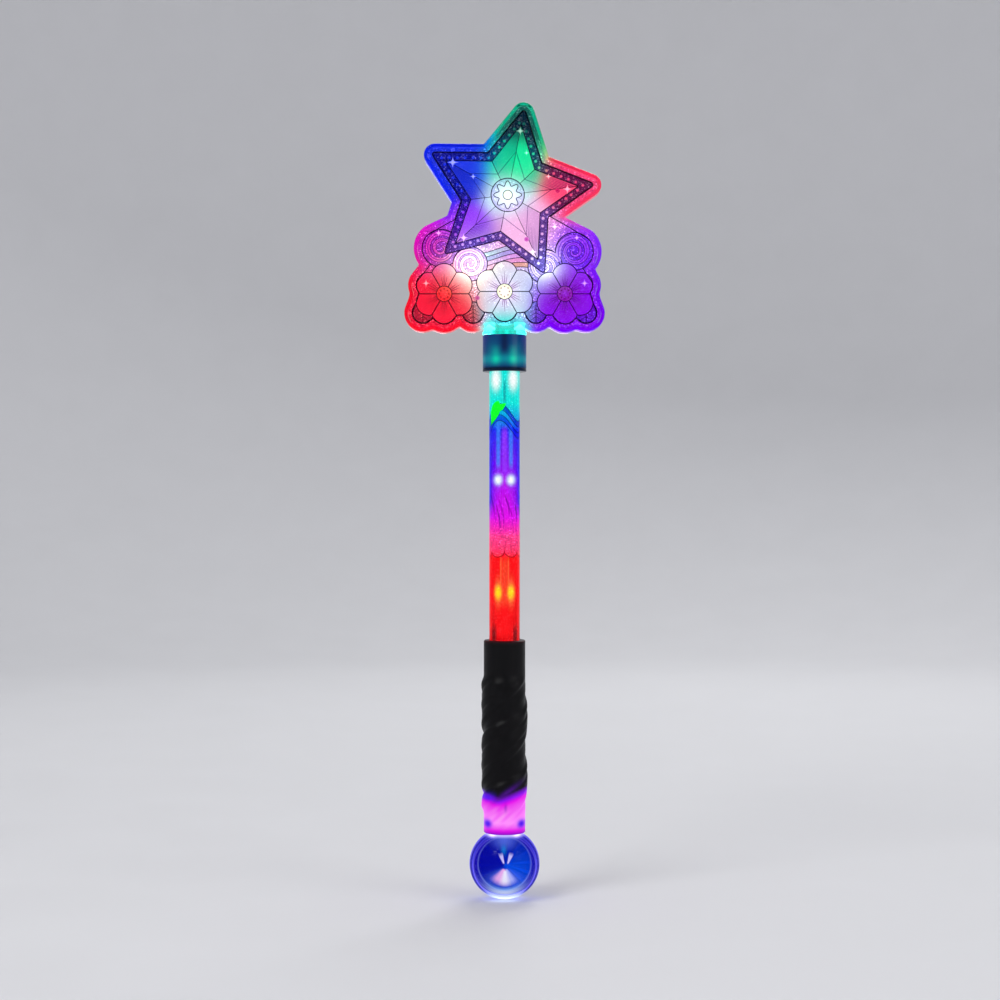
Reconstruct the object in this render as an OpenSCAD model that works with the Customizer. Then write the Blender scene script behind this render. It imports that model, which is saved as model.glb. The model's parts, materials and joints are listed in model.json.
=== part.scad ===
// Light-up toy magic wand: a clear printed head, a lit tube, a carved grip and a clear ball.
// Millimetres. Z runs along the wand towards the head, the front faces -Y,
// and the origin lies on the axis at the middle of the grip.

/* [Head outline] */
// Number of points on the star
star_points = 5; // [4:1:7]
// From the star's centre to the centre of a rounded tip
star_tip_reach = 53; // [48:1:57]
// From the star's centre to an inner corner
star_inner_reach = 28; // [24:1:32]
// Radius of a printed star tip
star_tip_round = 2.6; // [1.6:0.1:4]
// Lean of the star to the right, in degrees
star_lean = 11; // [0:1:20]
// Height of the star's centre above the collar
star_height = 89; // [84:1:94]
// Sideways place of the star's centre
star_shift = 2; // [0:0.5:4]
// Distance from one blossom to the next
blossom_pitch = 38.5; // [34:0.5:40]
// Height of the outer blossoms above the collar
blossom_height = 26; // [25:0.5:30]
// How much higher the middle blossom stands
blossom_rise = 1.5; // [0:0.5:3]
// Petals on each blossom
petal_count = 6; // [5:1:8]
// From a blossom's centre to a petal's centre
petal_reach = 11.2; // [9:0.2:12]
// Radius of one petal
petal_r = 8.8; // [7:0.2:9.4]
// Radius of a leaf between the blossoms
leaf_r = 7.5; // [6:0.5:9]
// Height of the leaves above the collar
leaf_height = 14; // [13:0.5:17]
// Radius of a large scroll beside the star
curl_r = 13; // [10:0.5:15]

/* [Head shells] */
// Clear border outside the print
head_border = 4.5; // [3.5:0.1:6]
// Whole thickness of the head, front to back
head_depth = 16; // [14:0.5:20]
// Wall of the head's front and back faces
head_face_wall = 1.6; // [1.2:0.1:2.4]
// Wall round the head's side
head_side_wall = 2.2; // [1.6:0.1:3]
// Thickness of the printed films
film_t = 0.2; // [0.1:0.05:0.4]
// Thickness of the flange that sits on the collar
flange_t = 2.6; // [2:0.1:4]
// Height of the solid root between the flange and the head
root_h = 8; // [6:0.5:10]
// Radius of a post that joins the head shells
post_r = 2.6; // [2.2:0.1:3.2]
// Radius of the pin on a post
post_pin_r = 1.2; // [0.8:0.1:1.5]
// Length of the pin that enters the back shell
post_pin_len = 3.4; // [2:0.2:4.5]

/* [Tube and collar] */
// Outer diameter of the clear tube
tube_d = 20; // [19:0.5:21]
// Wall of the clear tube
tube_wall = 1.2; // [0.8:0.1:1.6]
// Length of the tube between the grip and the collar
tube_show = 171.5; // [140:0.5:220]
// Length of the collar
collar_len = 23.3; // [18:0.1:30]
// Wall of the collar
collar_wall = 1.95; // [1.4:0.05:2.6]
// Height of the collar's inward lip
collar_lip = 2; // [1.2:0.1:3]
// Wall of the head's neck inside the collar
neck_wall = 1.95; // [1.4:0.05:2.6]

/* [Boards and lamps] */
// Thickness of every circuit board
board_t = 1.2; // [0.8:0.1:1.6]
// Width of the head board's upright strip
head_strip_w = 12; // [8:0.5:14]
// Width of the head board's cross arm
head_arm_w = 44; // [40:1:50]
// Height of the head board's cross arm
head_arm_h = 22; // [20:1:26]
// Distance between the two posts that hold the head board
board_post_pitch = 28; // [24:1:32]
// Length over which crossed boards lap
board_lap = 9.6; // [7:0.2:12]
// Length over which the tube board laps the control board
control_lap = 5; // [4:0.2:6]
// Width of a soldered pin
pin_w = 0.8; // [0.5:0.05:1]
// Side of a square lamp on the head board
chip_w = 5; // [3:0.2:6]
// Height of a square lamp
chip_t = 1.6; // [1:0.1:2]
// Diameter of a round lamp
lamp_d = 3; // [2.6:0.1:3.4]
// Whole length of a round lamp
lamp_len = 5.3; // [4.6:0.1:6]
// Height of the lower lamp pair above the grip
lower_lamp_height = 30.7; // [20:0.1:45]
// Height of the middle lamp pair above the grip
middle_lamp_height = 102.3; // [70:0.1:120]
// Drop of the upper lamp pair below the collar
upper_lamp_drop = 5.2; // [3:0.1:10]
// Thickness of a board spacer
spacer_t = 4; // [3:0.5:6]

/* [Grip] */
// Diameter of an AAA cell
cell_d = 10.5; // [10.3:0.1:11]
// Length of an AAA cell with its nub
cell_len = 44.5; // [44:0.1:46]
// Room round the bundle of cells
cell_room = 0.34; // [0.2:0.02:0.6]
// Wall of the grip
grip_wall = 1.6; // [1.3:0.1:2.4]
// Length of the ball's neck inside the grip
neck_seat = 9.5; // [8:0.1:12]
// Height of the bay for the lower screws
screw_bay = 8; // [7.2:0.1:10]
// Height of the bay for the door's screw
door_screw_bay = 11; // [10:0.1:14]
// Height of the bay for the control board
control_bay = 24; // [23:0.5:30]
// Length of the tube inside the grip
tube_seat = 19.5; // [14:0.5:26]
// Height of the ledge under the tube
tube_ledge = 2; // [1.2:0.1:3]
// Bevel on the grip's two ends
grip_bevel = 0.6; // [0.2:0.1:1]

/* [Battery door and cells] */
// Half of the door's angle about the axis, in degrees
door_half_angle = 70; // [66:1:74]
// Gap round the door
door_gap = 0.25; // [0.15:0.05:0.4]
// Radius of the door's screw lug
lug_r = 4; // [3.6:0.1:4.6]
// Height of the lug's seat above the axis
lug_seat = 4; // [2:0.2:5]
// Radius of the door screw's head
door_head_r = 2.6; // [2.2:0.1:2.8]
// Height of the door screw's head
door_head_t = 1.8; // [1.2:0.1:2]
// Radius of the door screw's shank
door_shank_r = 1.4; // [1:0.1:1.6]
// Length of the door screw's shank below the lug
door_shank_len = 8; // [5:0.5:10]
// Thickness of the cradle's end plates
cradle_end_t = 1.5; // [1.2:0.1:2]
// Thickness of a battery contact
contact_t = 0.4; // [0.3:0.05:0.6]
// Radius of a battery contact
contact_r = 3.4; // [3:0.1:4]
// Length of a contact spring under load
spring_len = 2.7; // [2.2:0.1:4]
// Radius of a contact spring to its wire's middle
spring_r = 2.6; // [2:0.1:3]
// Radius of the spring wire
spring_wire_r = 0.3; // [0.2:0.05:0.35]
// Turns of a contact spring
spring_turns = 2; // [1:1:3]
// Radius of a lead wire
lead_r = 0.7; // [0.5:0.05:0.9]

/* [Screws and button] */
// Radius of a grip screw's boss
boss_r = 2.4; // [2.2:0.1:2.6]
// Radius of a grip screw's head
screw_head_r = 2.1; // [1.8:0.1:2.2]
// Height of a grip screw's head
screw_head_t = 1.5; // [1:0.1:1.8]
// Radius of a grip screw's shank
screw_shank_r = 1.1; // [0.8:0.1:1.2]
// Depth to which a grip screw enters the front shell
screw_depth = 5.6; // [4:0.2:6]
// Radius of the push button
button_r = 4.5; // [4:0.1:5]
// How far the button stands proud of the grip
button_proud = 1.2; // [0.6:0.1:2]
// Travel of the button
button_travel = 1; // [0.5:0.1:1.2]
// Width of the button's inner flange outside its cap
button_flange = 1; // [0.7:0.1:1.4]
// Thickness of the button's inner flange
button_flange_t = 1.2; // [0.8:0.1:1.6]
// Side of the push switch
switch_w = 6; // [5:0.2:6.4]
// Height of the push switch's body
switch_t = 3.5; // [3:0.1:4]
// Radius of the switch plunger
plunger_r = 1.7; // [1.2:0.1:2]
// How far the plunger stands out of the switch
plunger_proud = 1.4; // [1.3:0.1:2]

/* [Ball] */
// Diameter of the clear ball
ball_d = 45; // [40:0.5:50]
// Wall of the clear ball
ball_wall = 2.1; // [1.6:0.1:2.6]
// Step between the grip's bore and the ball's neck
neck_step = 1.45; // [1.2:0.05:2]
// Wall of the ball's neck
ball_neck_wall = 2; // [1.6:0.1:2.6]
// Radius of a neck pin
neck_pin_r = 2.2; // [1.6:0.1:2.4]
// Radius of the ringed lens on the disc
lens_r = 17; // [14:0.5:18]
// Thickness of the lens at its middle
lens_t = 5; // [4:0.2:7]
// Thickness of the lens at its rim
lens_rim_t = 2.4; // [1.8:0.1:3]
// Thickness of the disc's web
web_t = 1.2; // [0.8:0.1:1.6]
// Depth to which the web enters the ball's wall
web_bite = 1; // [0.6:0.1:1.2]

/* [Clearances] */
// Radial clearance of a close fit
fit = 0.05; // [0.02:0.01:0.1]
// Clearance of a loose fit
loose_fit = 0.25; // [0.2:0.05:0.35]

/* [Hidden] */
$fn = 96;

// Points round the head's outline
outline_count = 360;
// Places of the leaves, in blossom pitches from the axis
leaf_place_shares = [-1.35, -0.52, 0.52, 1.35];
// Scrolls: sideways and up from the star's centre in tip reaches, then radius in scroll radii
curl_shares = [[-0.8, -0.64, 1], [-0.45, -0.83, 0.92], [0.8, -0.68, 1], [0.45, -0.86, 0.92]];
// Post in the star's right arm, in tip reaches from the star's centre
arm_post_shares = [0.6, 0.05];
// Post beside the left blossom, in blossom pitches and blossom heights
bed_post_shares = [-0.45, 0.9];
// Heights of the head board's cross arm, top lamp and lower lamp, in star heights
arm_height_share = 0.62;
top_lamp_share = 1.12;
low_lamp_share = 0.15;
// Side lamps and posts on the cross arm, in arm widths and arm heights from its middle
arm_lamp_shares = [0.36, -0.25];
arm_post_rise_share = 0.25;
// Room for the head board's tail in the flange, in board thicknesses
tail_room_share = 2.5;
// Length of the neck pin in neck and grip walls, and its height up the neck seat
neck_pin_reach_share = 0.8;
neck_pin_height_share = 0.68;
// Rib and lead wire in the gap between two cells, in gap radii from the gap's middle
rib_place_share = -0.4;
rib_r_share = 0.42;
lead_place_share = 0.48;
// Lower grip screws, in screw bays above the ball's neck
lower_screw_share = 0.6;
// Middle of the button, in control board heights above the board's lower edge
button_place_share = 0.4;
// Turned-in part of the lamp's dome and the height of its base ring, in lamp diameters
lamp_ring_share = 1.25;
lamp_ring_t_share = 0.35;
// A cell's nub and its height, in cell diameters
nub_share = 0.36;
nub_t_share = 0.08;
// Screw slot's width in head radii, and its depth in head heights
slot_w_share = 0.35;
slot_t_share = 0.4;
// Overrun of every cut
over = 1;
// Sides and rings of a swept wire
wire_sides = 6;
turn_rings = 8;

// Radii about the wand's axis
tube_r = tube_d / 2;
tube_in_r = tube_r - tube_wall;
film_r = tube_in_r - fit;
neck_in_r = tube_r + fit;
neck_out_r = neck_in_r + neck_wall;
collar_in_r = neck_out_r + fit;
collar_r = collar_in_r + collar_wall;
cell_r = cell_d / 2;
cell_orbit = (cell_d + fit) / sqrt(3);
bore_r = cell_orbit + cell_r + cell_room;
grip_r = bore_r + grip_wall;
ball_neck_r = bore_r - neck_step;
ball_neck_in_r = ball_neck_r - ball_neck_wall;
mid_wall_r = bore_r + grip_wall / 2;

// Heights along the wand
battery_bay = cell_len + spring_len + 2 * (cradle_end_t + contact_t);
grip_len = neck_seat + screw_bay + door_screw_bay + battery_bay + control_bay + tube_seat;
grip_z0 = -grip_len / 2;
neck_top_z = grip_z0 + neck_seat;
door_z0 = neck_top_z + screw_bay;
bay_z0 = door_z0 + door_screw_bay;
bay_z1 = bay_z0 + battery_bay;
tube_z0 = bay_z1 + control_bay;
grip_z1 = tube_z0 + tube_seat;
collar_z0 = grip_z1 + tube_show;
collar_z1 = collar_z0 + collar_len;
flange_z1 = collar_z1 + flange_t;
tube_len = collar_z1 - tube_z0;

// Head
half_depth = head_depth / 2;
cavity_depth = half_depth - head_face_wall;
tip_step = 360 / star_points;
star_corner = star_inner_reach * [cos(tip_step / 2), sin(tip_step / 2)];
star_edge = star_corner - [star_tip_reach, 0];
star_normal = [star_edge.y, -star_edge.x] / norm(star_edge);
blossom_places = [
    for (i = [-1:1])
        [i * blossom_pitch, blossom_height + (i == 0 ? blossom_rise : 0)]
];
head_lobes = concat(
    [
        for (b = blossom_places, k = [0:petal_count - 1])
            let (a = 90 + 360 * k / petal_count)
            [b.x + petal_reach * cos(a), b.y + petal_reach * sin(a), petal_r]
    ],
    [for (s = leaf_place_shares) [s * blossom_pitch, leaf_height, leaf_r]],
    [
        for (c = curl_shares)
            [star_shift + c.x * star_tip_reach, star_height + c.y * star_tip_reach, c.z * curl_r]
    ]
);
arm_z = collar_z1 + arm_height_share * star_height;
board_posts = [for (s = [-1, 1]) [s * board_post_pitch / 2, arm_z + arm_post_rise_share * head_arm_h]];
shell_posts = [
    [star_shift + arm_post_shares.x * star_tip_reach,
     collar_z1 + star_height + arm_post_shares.y * star_tip_reach],
    [bed_post_shares.x * blossom_pitch, collar_z1 + bed_post_shares.y * blossom_height]
];
head_lamps = [
    [0, collar_z1 + low_lamp_share * star_height],
    [0, collar_z1 + top_lamp_share * star_height],
    for (s = [-1, 1])
        [s * arm_lamp_shares.x * head_arm_w, arm_z + arm_lamp_shares.y * head_arm_h]
];
head_board_z1 = collar_z1 + top_lamp_share * star_height + head_strip_w / 2;

// Boards in the tube and the grip
half_board = board_t / 2;
tube_board_half = sqrt(pow(film_r - film_t, 2) - pow(half_board, 2)) - loose_fit;
tail_half = min(head_strip_w / 2, tube_board_half);
head_tail_z = collar_z1 - board_lap;
head_lap_z = collar_z1 - board_lap / 2;
control_half = sqrt(pow(bore_r, 2) - pow(half_board, 2)) - loose_fit;
control_z0 = bay_z1 + cradle_end_t;
upper_screw_z = tube_z0 - tube_ledge / 2 - boss_r;
control_z1 = upper_screw_z - boss_r - loose_fit;
control_h = control_z1 - control_z0;
tube_board_z0 = control_z1 - control_lap;
control_lap_z = control_z1 - control_lap / 2;
tail_w = switch_w;
lower_spacer_z = tube_z0 + spacer_t;
upper_spacer_z = collar_z0 + collar_lip + spacer_t;
tube_film_z0 = lower_spacer_z + spacer_t + loose_fit;
tube_film_z1 = upper_spacer_z - loose_fit;
lamp_r = lamp_d / 2;

// Button and switch, on the back of the control board
button_z = control_z0 + button_place_share * control_h;
switch_y1 = half_board + switch_t;
plunger_y1 = switch_y1 + plunger_proud;
plunger_bite = button_travel + loose_fit;
flange_r = button_r + button_flange;
flange_y1 = sqrt(pow(bore_r, 2) - pow(flange_r, 2)) - loose_fit;
button_y1 = grip_r + button_proud;

// Screws and pins
screw_x = bore_r - boss_r - loose_fit;
lower_screw_z = neck_top_z + lower_screw_share * screw_bay;
screw_places = [for (x = [-screw_x, screw_x], z = [lower_screw_z, upper_screw_z]) [x, z]];
screw_seat_y = sqrt(pow(grip_r, 2) - pow(screw_x + screw_head_r, 2)) - screw_head_t - loose_fit;
neck_pin_z = grip_z0 + neck_pin_height_share * neck_seat;
neck_pin_x0 = ball_neck_in_r + loose_fit;
neck_pin_x1 = grip_r - loose_fit - (1 - neck_pin_reach_share) * (grip_r - ball_neck_r);
door_screw_z = door_z0 + door_screw_bay / 2;
door_seat_y = grip_r - door_head_t - loose_fit;
door_gap_angle = atan(door_gap / grip_r);

// Cells and what lies in the gaps between them: a circle that touches two cells and the bore
cell_places = [for (a = [-90, 30, 150]) cell_orbit * [cos(a), sin(a)]];
cell_flips = [false, true, false];
cell_z0 = bay_z0 + cradle_end_t + contact_t;
cell_z1 = bay_z1 - cradle_end_t - contact_t;
nub_r = nub_share * cell_d;
nub_t = nub_t_share * cell_d;
gap_r = (pow(bore_r, 2) + pow(cell_orbit, 2) - bore_r * cell_orbit - pow(cell_r, 2))
    / (2 * bore_r - cell_orbit + 2 * cell_r);
gap_reach = bore_r - gap_r;
gap_angles = [-30, 210];
rib_reach = gap_reach + rib_place_share * gap_r;
rib_r = rib_r_share * gap_r;
lead_reach = gap_reach + lead_place_share * gap_r;

// Ball
ball_r = ball_d / 2;
ball_in_r = ball_r - ball_wall;
ball_z = grip_z0 - sqrt(pow(ball_r, 2) - pow(ball_neck_r, 2));
web_r = ball_in_r + web_bite;

// Reach of the star from its centre at an angle, with the whole star grown outwards
function star_reach(angle, grow) =
    let (
        turn = abs((angle + star_lean + tip_step / 2 + 270) % tip_step - tip_step / 2),
        tip = star_tip_round + grow,
        start = [star_tip_reach, 0] + tip * star_normal
    )
    turn >= atan2(start.y, start.x)
        ? (star_tip_reach * star_normal.x + tip) / ([cos(turn), sin(turn)] * star_normal)
        : star_tip_reach * cos(turn) + sqrt(pow(tip, 2) - pow(star_tip_reach * sin(turn), 2));

// Reach from the star's centre to the far side of a round lobe, or zero where the ray misses it
function lobe_reach(angle, lobe, grow) =
    let (
        v = [lobe.x - star_shift, lobe.y - star_height],
        along = v * [cos(angle), sin(angle)],
        inside = pow(lobe.z + grow, 2) - v * v + pow(along, 2)
    )
    inside > 0 ? along + sqrt(inside) : 0;

// Outline of the star, scrolls, leaves and blossoms together, grown outwards
function head_outline(grow) = [
    for (i = [0:outline_count - 1])
        let (
            a = 360 * i / outline_count,
            lobes = max([for (l = head_lobes) lobe_reach(a, l, grow)]),
            reach = max(star_reach(a, grow), lobes)
        )
        [star_shift + reach * cos(a), star_height + reach * sin(a)]
];

function unit(v) = v / norm(v);

// Direction of a path at one of its points
function path_way(path, i) = unit(path[min(i + 1, len(path) - 1)] - path[max(i - 1, 0)]);

// Round wire swept along a path; up is any direction that the path never takes
module wire(path, r, up) {
    rings = [
        for (i = [0:len(path) - 1], k = [0:wire_sides - 1])
            let (
                way = path_way(path, i),
                a = unit(cross(way, up)),
                b = cross(way, a),
                turn = 360 * k / wire_sides
            )
            path[i] + r * (cos(turn) * a + sin(turn) * b)
    ];
    last = (len(path) - 1) * wire_sides;
    faces = concat(
        [for (k = [1:wire_sides - 2]) [0, k, k + 1]],
        [for (k = [1:wire_sides - 2]) [last, last + k + 1, last + k]],
        [
            for (i = [0:len(path) - 2], k = [0:wire_sides - 1])
                let (base = i * wire_sides, next = (k + 1) % wire_sides)
                each [
                    [base + k, base + wire_sides + k, base + wire_sides + next],
                    [base + k, base + wire_sides + next, base + next]
                ]
        ]
    );
    polyhedron(rings, faces);
}

// Prism of the head's outline from the seam towards the front
module head_prism(grow, y, depth) {
    translate([0, -y, collar_z1])
        rotate([90, 0, 0])
            linear_extrude(depth)
                polygon(head_outline(grow));
}

// Rod along Y from y0 to y1
module rod_y(r, x, z, y0, y1) {
    translate([x, y1, z])
        rotate([90, 0, 0])
            cylinder(r = r, h = y1 - y0);
}

// Box between two corners
module block(low, high) {
    translate(low)
        cube(high - low);
}

// Half ring about the axis in front of the seam
module front_ring(r0, r1, z0, z1) {
    rotate([0, 0, 180])
        rotate_extrude(angle = 180)
            translate([r0, z0])
                square([r1 - r0, z1 - z0]);
}

// Front half of the head: face, side wall, root, flange, neck and the halves of the four posts
module head_half() {
    difference() {
        union() {
            head_prism(head_border, 0, half_depth);
            block([-collar_r, -half_depth, collar_z1], [collar_r, 0, collar_z1 + root_h]);
            front_ring(0, collar_r, collar_z1, flange_z1);
            front_ring(neck_in_r, neck_out_r, collar_z0 + collar_lip, collar_z1);
        }
        head_prism(head_border - head_side_wall, -over, cavity_depth + over);
        block(
            [-tail_half - loose_fit, -tail_room_share * half_board, collar_z1 - over],
            [tail_half + loose_fit, over, collar_z1 + root_h + over]
        );
    }
    for (p = board_posts)
        rod_y(post_r, p.x, p.y, -cavity_depth - head_face_wall / 2, -half_board);
    for (p = shell_posts)
        rod_y(post_r, p.x, p.y, -cavity_depth - head_face_wall / 2, 0);
}

module head_front_shell() {
    color([0.8, 0.92, 1, 0.35]) {
        head_half();
        for (p = board_posts)
            rod_y(post_pin_r, p.x, p.y, -cavity_depth, post_pin_len);
        for (p = shell_posts)
            rod_y(post_pin_r, p.x, p.y, -cavity_depth, post_pin_len);
    }
}

module head_back_shell() {
    color([0.8, 0.92, 1, 0.35])
        difference() {
            mirror([0, 1, 0])
                head_half();
            for (p = concat(board_posts, shell_posts))
                rod_y(post_pin_r + fit, p.x, p.y, -over, post_pin_len + loose_fit);
        }
}

// Printed film against the inside of the front face, with holes for the posts
module print_film() {
    difference() {
        head_prism(0, cavity_depth - film_t, film_t);
        for (p = concat(board_posts, shell_posts))
            rod_y(post_r + loose_fit, p.x, p.y, -half_depth, 0);
    }
}

module front_print_film() {
    color("orchid")
        print_film();
}

module back_print_film() {
    color("orchid")
        mirror([0, 1, 0])
            print_film();
}

// Cross-shaped board with its tail slotted over the tube board
module head_board() {
    color("darkgreen")
        difference() {
            union() {
                block([-tail_half, -half_board, head_tail_z], [tail_half, half_board, collar_z1 + root_h]);
                block(
                    [-head_strip_w / 2, -half_board, collar_z1 + root_h],
                    [head_strip_w / 2, half_board, head_board_z1]
                );
                block(
                    [-head_arm_w / 2, -half_board, arm_z - head_arm_h / 2],
                    [head_arm_w / 2, half_board, arm_z + head_arm_h / 2]
                );
            }
            block(
                [-half_board - fit, -half_board - over, head_tail_z - over],
                [half_board + fit, half_board + over, head_lap_z]
            );
            for (p = board_posts)
                rod_y(post_pin_r + fit, p.x, p.y, -board_t, board_t);
        }
}

module head_leds() {
    color("white")
        for (p = head_lamps, side = [-1, 1])
            translate([p.x - chip_w / 2, side * half_board - (side < 0 ? chip_t : 0), p.y - chip_w / 2])
                cube([chip_w, chip_t, chip_w]);
}

// Four soldered pins in the corners where two boards cross
module header_pins(z0, z1) {
    for (x = [-1, 1], y = [-1, 1])
        translate([x * (half_board + pin_w / 2), y * (half_board + pin_w / 2), (z0 + z1) / 2])
            cube([pin_w, pin_w, z1 - z0], center = true);
}

module head_header_pins() {
    color("silver")
        header_pins(head_lap_z - board_lap / 4, head_lap_z + board_lap / 4);
}

module control_header_pins() {
    color("silver")
        header_pins(control_lap_z - control_lap / 4, control_lap_z + control_lap / 4);
}

// Collar that holds the two neck halves on the tube
module neck_collar() {
    color([0, 0.2, 0.35])
        rotate_extrude()
            polygon([
                [tube_r + loose_fit, collar_z0],
                [collar_r, collar_z0],
                [collar_r, collar_z1],
                [collar_in_r, collar_z1],
                [collar_in_r, collar_z0 + collar_lip],
                [tube_r + loose_fit, collar_z0 + collar_lip]
            ]);
}

module clear_tube() {
    color([0.7, 0.95, 1, 0.35])
        translate([0, 0, tube_z0])
            difference() {
                cylinder(r = tube_r, h = tube_len);
                translate([0, 0, -over])
                    cylinder(r = tube_in_r, h = tube_len + 2 * over);
            }
}

module tube_print_film() {
    color([0.9, 0.3, 0.9, 0.6])
        translate([0, 0, tube_film_z0])
            difference() {
                cylinder(r = film_r, h = tube_film_z1 - tube_film_z0);
                translate([0, 0, -over])
                    cylinder(r = film_r - film_t, h = tube_film_z1 - tube_film_z0 + 2 * over);
            }
}

// Board stood on edge in the tube, slotted at both ends for the boards that it crosses
module tube_board() {
    color("darkgreen")
        difference() {
            union() {
                block(
                    [-half_board, -tube_board_half, tube_z0],
                    [half_board, tube_board_half, collar_z1]
                );
                block([-half_board, -tail_w / 2, tube_board_z0], [half_board, tail_w / 2, tube_z0]);
            }
            block(
                [-half_board - over, -half_board - fit, tube_board_z0 - over],
                [half_board + over, half_board + fit, control_lap_z]
            );
            block(
                [-half_board - over, -half_board - fit, head_lap_z],
                [half_board + over, half_board + fit, collar_z1 + over]
            );
        }
}

// Round lamp that points up from the origin: base ring, body and dome
module round_lamp() {
    cylinder(r = lamp_ring_share * lamp_r, h = lamp_ring_t_share * lamp_d);
    cylinder(r = lamp_r, h = lamp_len - lamp_r);
    translate([0, 0, lamp_len - lamp_r])
        sphere(r = lamp_r);
}

// Lamps on the left and right faces of the tube board
module lamp_pair(z) {
    for (side = [-1, 1])
        translate([side * half_board, 0, z])
            rotate([0, side * 90, 0])
                round_lamp();
}

module upper_tube_leds() {
    color("cyan")
        lamp_pair(collar_z0 - upper_lamp_drop);
}

module middle_tube_leds() {
    color("magenta")
        lamp_pair(grip_z1 + middle_lamp_height);
}

module lower_tube_leds() {
    color("gold")
        lamp_pair(grip_z1 + lower_lamp_height);
}

// Disc with a slot that keeps the tube board on the axis
module board_spacer(z) {
    difference() {
        translate([0, 0, z])
            cylinder(r = tube_in_r - fit, h = spacer_t);
        block(
            [-half_board - fit, -tube_board_half - fit, z - over],
            [half_board + fit, tube_board_half + fit, z + spacer_t + over]
        );
    }
}

module upper_board_spacer() {
    color("whitesmoke")
        board_spacer(upper_spacer_z);
}

module lower_board_spacer() {
    color("whitesmoke")
        board_spacer(lower_spacer_z);
}

// Board across the grip, slotted for the tube board's tail
module control_board() {
    color("darkgreen")
        difference() {
            block([-control_half, -half_board, control_z0], [control_half, half_board, control_z1]);
            block(
                [-half_board - fit, -half_board - over, control_lap_z],
                [half_board + fit, half_board + over, control_z1 + over]
            );
        }
}

module switch_body() {
    color("dimgray")
        difference() {
            block(
                [-switch_w / 2, half_board, button_z - switch_w / 2],
                [switch_w / 2, switch_y1, button_z + switch_w / 2]
            );
            rod_y(
                plunger_r + fit, 0, button_z,
                switch_y1 - plunger_bite - button_travel - loose_fit, switch_y1 + over
            );
        }
}

module switch_plunger() {
    color("black")
        rod_y(plunger_r, 0, button_z, switch_y1 - plunger_bite, plunger_y1);
}

// Button with a stem on the plunger and a flange that the back shell holds in
module push_button() {
    color("mediumpurple") {
        rod_y(plunger_r, 0, button_z, plunger_y1, flange_y1);
        rod_y(flange_r, 0, button_z, flange_y1 - button_flange_t, flange_y1);
        rod_y(button_r, 0, button_z, flange_y1 - button_flange_t, button_y1);
    }
}

// Wall of a grip half in front of the seam, with the seats for the tube and the ball's neck
module grip_half() {
    difference() {
        union() {
            rotate([0, 0, 180])
                rotate_extrude(angle = 180)
                    polygon([
                        [grip_r - grip_bevel, grip_z0],
                        [grip_r, grip_z0 + grip_bevel],
                        [grip_r, grip_z1 - grip_bevel],
                        [grip_r - grip_bevel, grip_z1],
                        [neck_in_r, grip_z1],
                        [neck_in_r, tube_z0],
                        [tube_in_r, tube_z0],
                        [tube_in_r, tube_z0 - tube_ledge],
                        [bore_r, tube_z0 - tube_ledge],
                        [bore_r, neck_top_z],
                        [ball_neck_r + fit, neck_top_z],
                        [ball_neck_r + fit, grip_z0]
                    ]);
            intersection() {
                union() {
                    for (p = screw_places)
                        rod_y(boss_r, p.x, p.y, -grip_r, 0);
                    for (side = [-1, 1])
                        block(
                            [side < 0 ? -grip_r : bore_r - boss_r, -boss_r, control_z0],
                            [side < 0 ? boss_r - bore_r : grip_r, -half_board, control_z1]
                        );
                }
                translate([0, 0, grip_z0])
                    cylinder(r = mid_wall_r, h = grip_len);
            }
        }
        for (side = [-1, 1])
            translate([side * neck_pin_x0, 0, neck_pin_z])
                rotate([0, side * 90, 0])
                    cylinder(r = neck_pin_r + fit, h = neck_pin_x1 + fit - neck_pin_x0);
    }
}

// Front shell: blind holes for the grip screws and the boss for the door's screw
module grip_front_shell() {
    color([0.06, 0.05, 0.08])
        difference() {
            union() {
                grip_half();
                intersection() {
                    rod_y(lug_r, 0, door_screw_z, -grip_r, lug_seat);
                    translate([0, 0, grip_z0])
                        cylinder(r = mid_wall_r, h = grip_len);
                }
            }
            for (p = screw_places)
                rod_y(screw_shank_r + fit, p.x, p.y, -screw_depth - loose_fit, over);
            rod_y(
                door_shank_r + fit, 0, door_screw_z,
                lug_seat - door_shank_len - loose_fit, lug_seat + over
            );
        }
}

// Curved slab of the grip's back wall, centred on +Y
module back_slab(half_angle, r0, r1, z0, z1) {
    rotate([0, 0, 90 - half_angle])
        rotate_extrude(angle = 2 * half_angle)
            translate([r0, z0])
                square([r1 - r0, z1 - z0]);
}

// Back shell: door window, button hole and sunk heads of the grip screws
module grip_back_shell() {
    color([0.06, 0.05, 0.08])
        difference() {
            mirror([0, 1, 0])
                grip_half();
            back_slab(
                door_half_angle + door_gap_angle, bore_r - boss_r, grip_r + over,
                door_z0 - door_gap, bay_z1 + door_gap
            );
            rod_y(button_r + loose_fit, 0, button_z, flange_y1 - over, grip_r + over);
            for (p = screw_places) {
                rod_y(screw_shank_r + fit, p.x, p.y, -over, grip_r);
                rod_y(screw_head_r + fit, p.x, p.y, screw_seat_y, grip_r);
            }
        }
}

// Slotted screw along Y with its head's top at y1
module screw_y(x, z, head_r, head_t, shank_r, y0, y1) {
    difference() {
        union() {
            rod_y(shank_r, x, z, y0, y1 - head_t);
            rod_y(head_r, x, z, y1 - head_t, y1);
        }
        translate([x, y1, z])
            cube([2 * head_r + over, 2 * slot_t_share * head_t, slot_w_share * head_r], center = true);
    }
}

module grip_screws() {
    color("silver")
        for (p = screw_places)
            screw_y(
                p.x, p.y, screw_head_r, screw_head_t, screw_shank_r,
                -screw_depth, screw_seat_y + screw_head_t
            );
}

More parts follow.
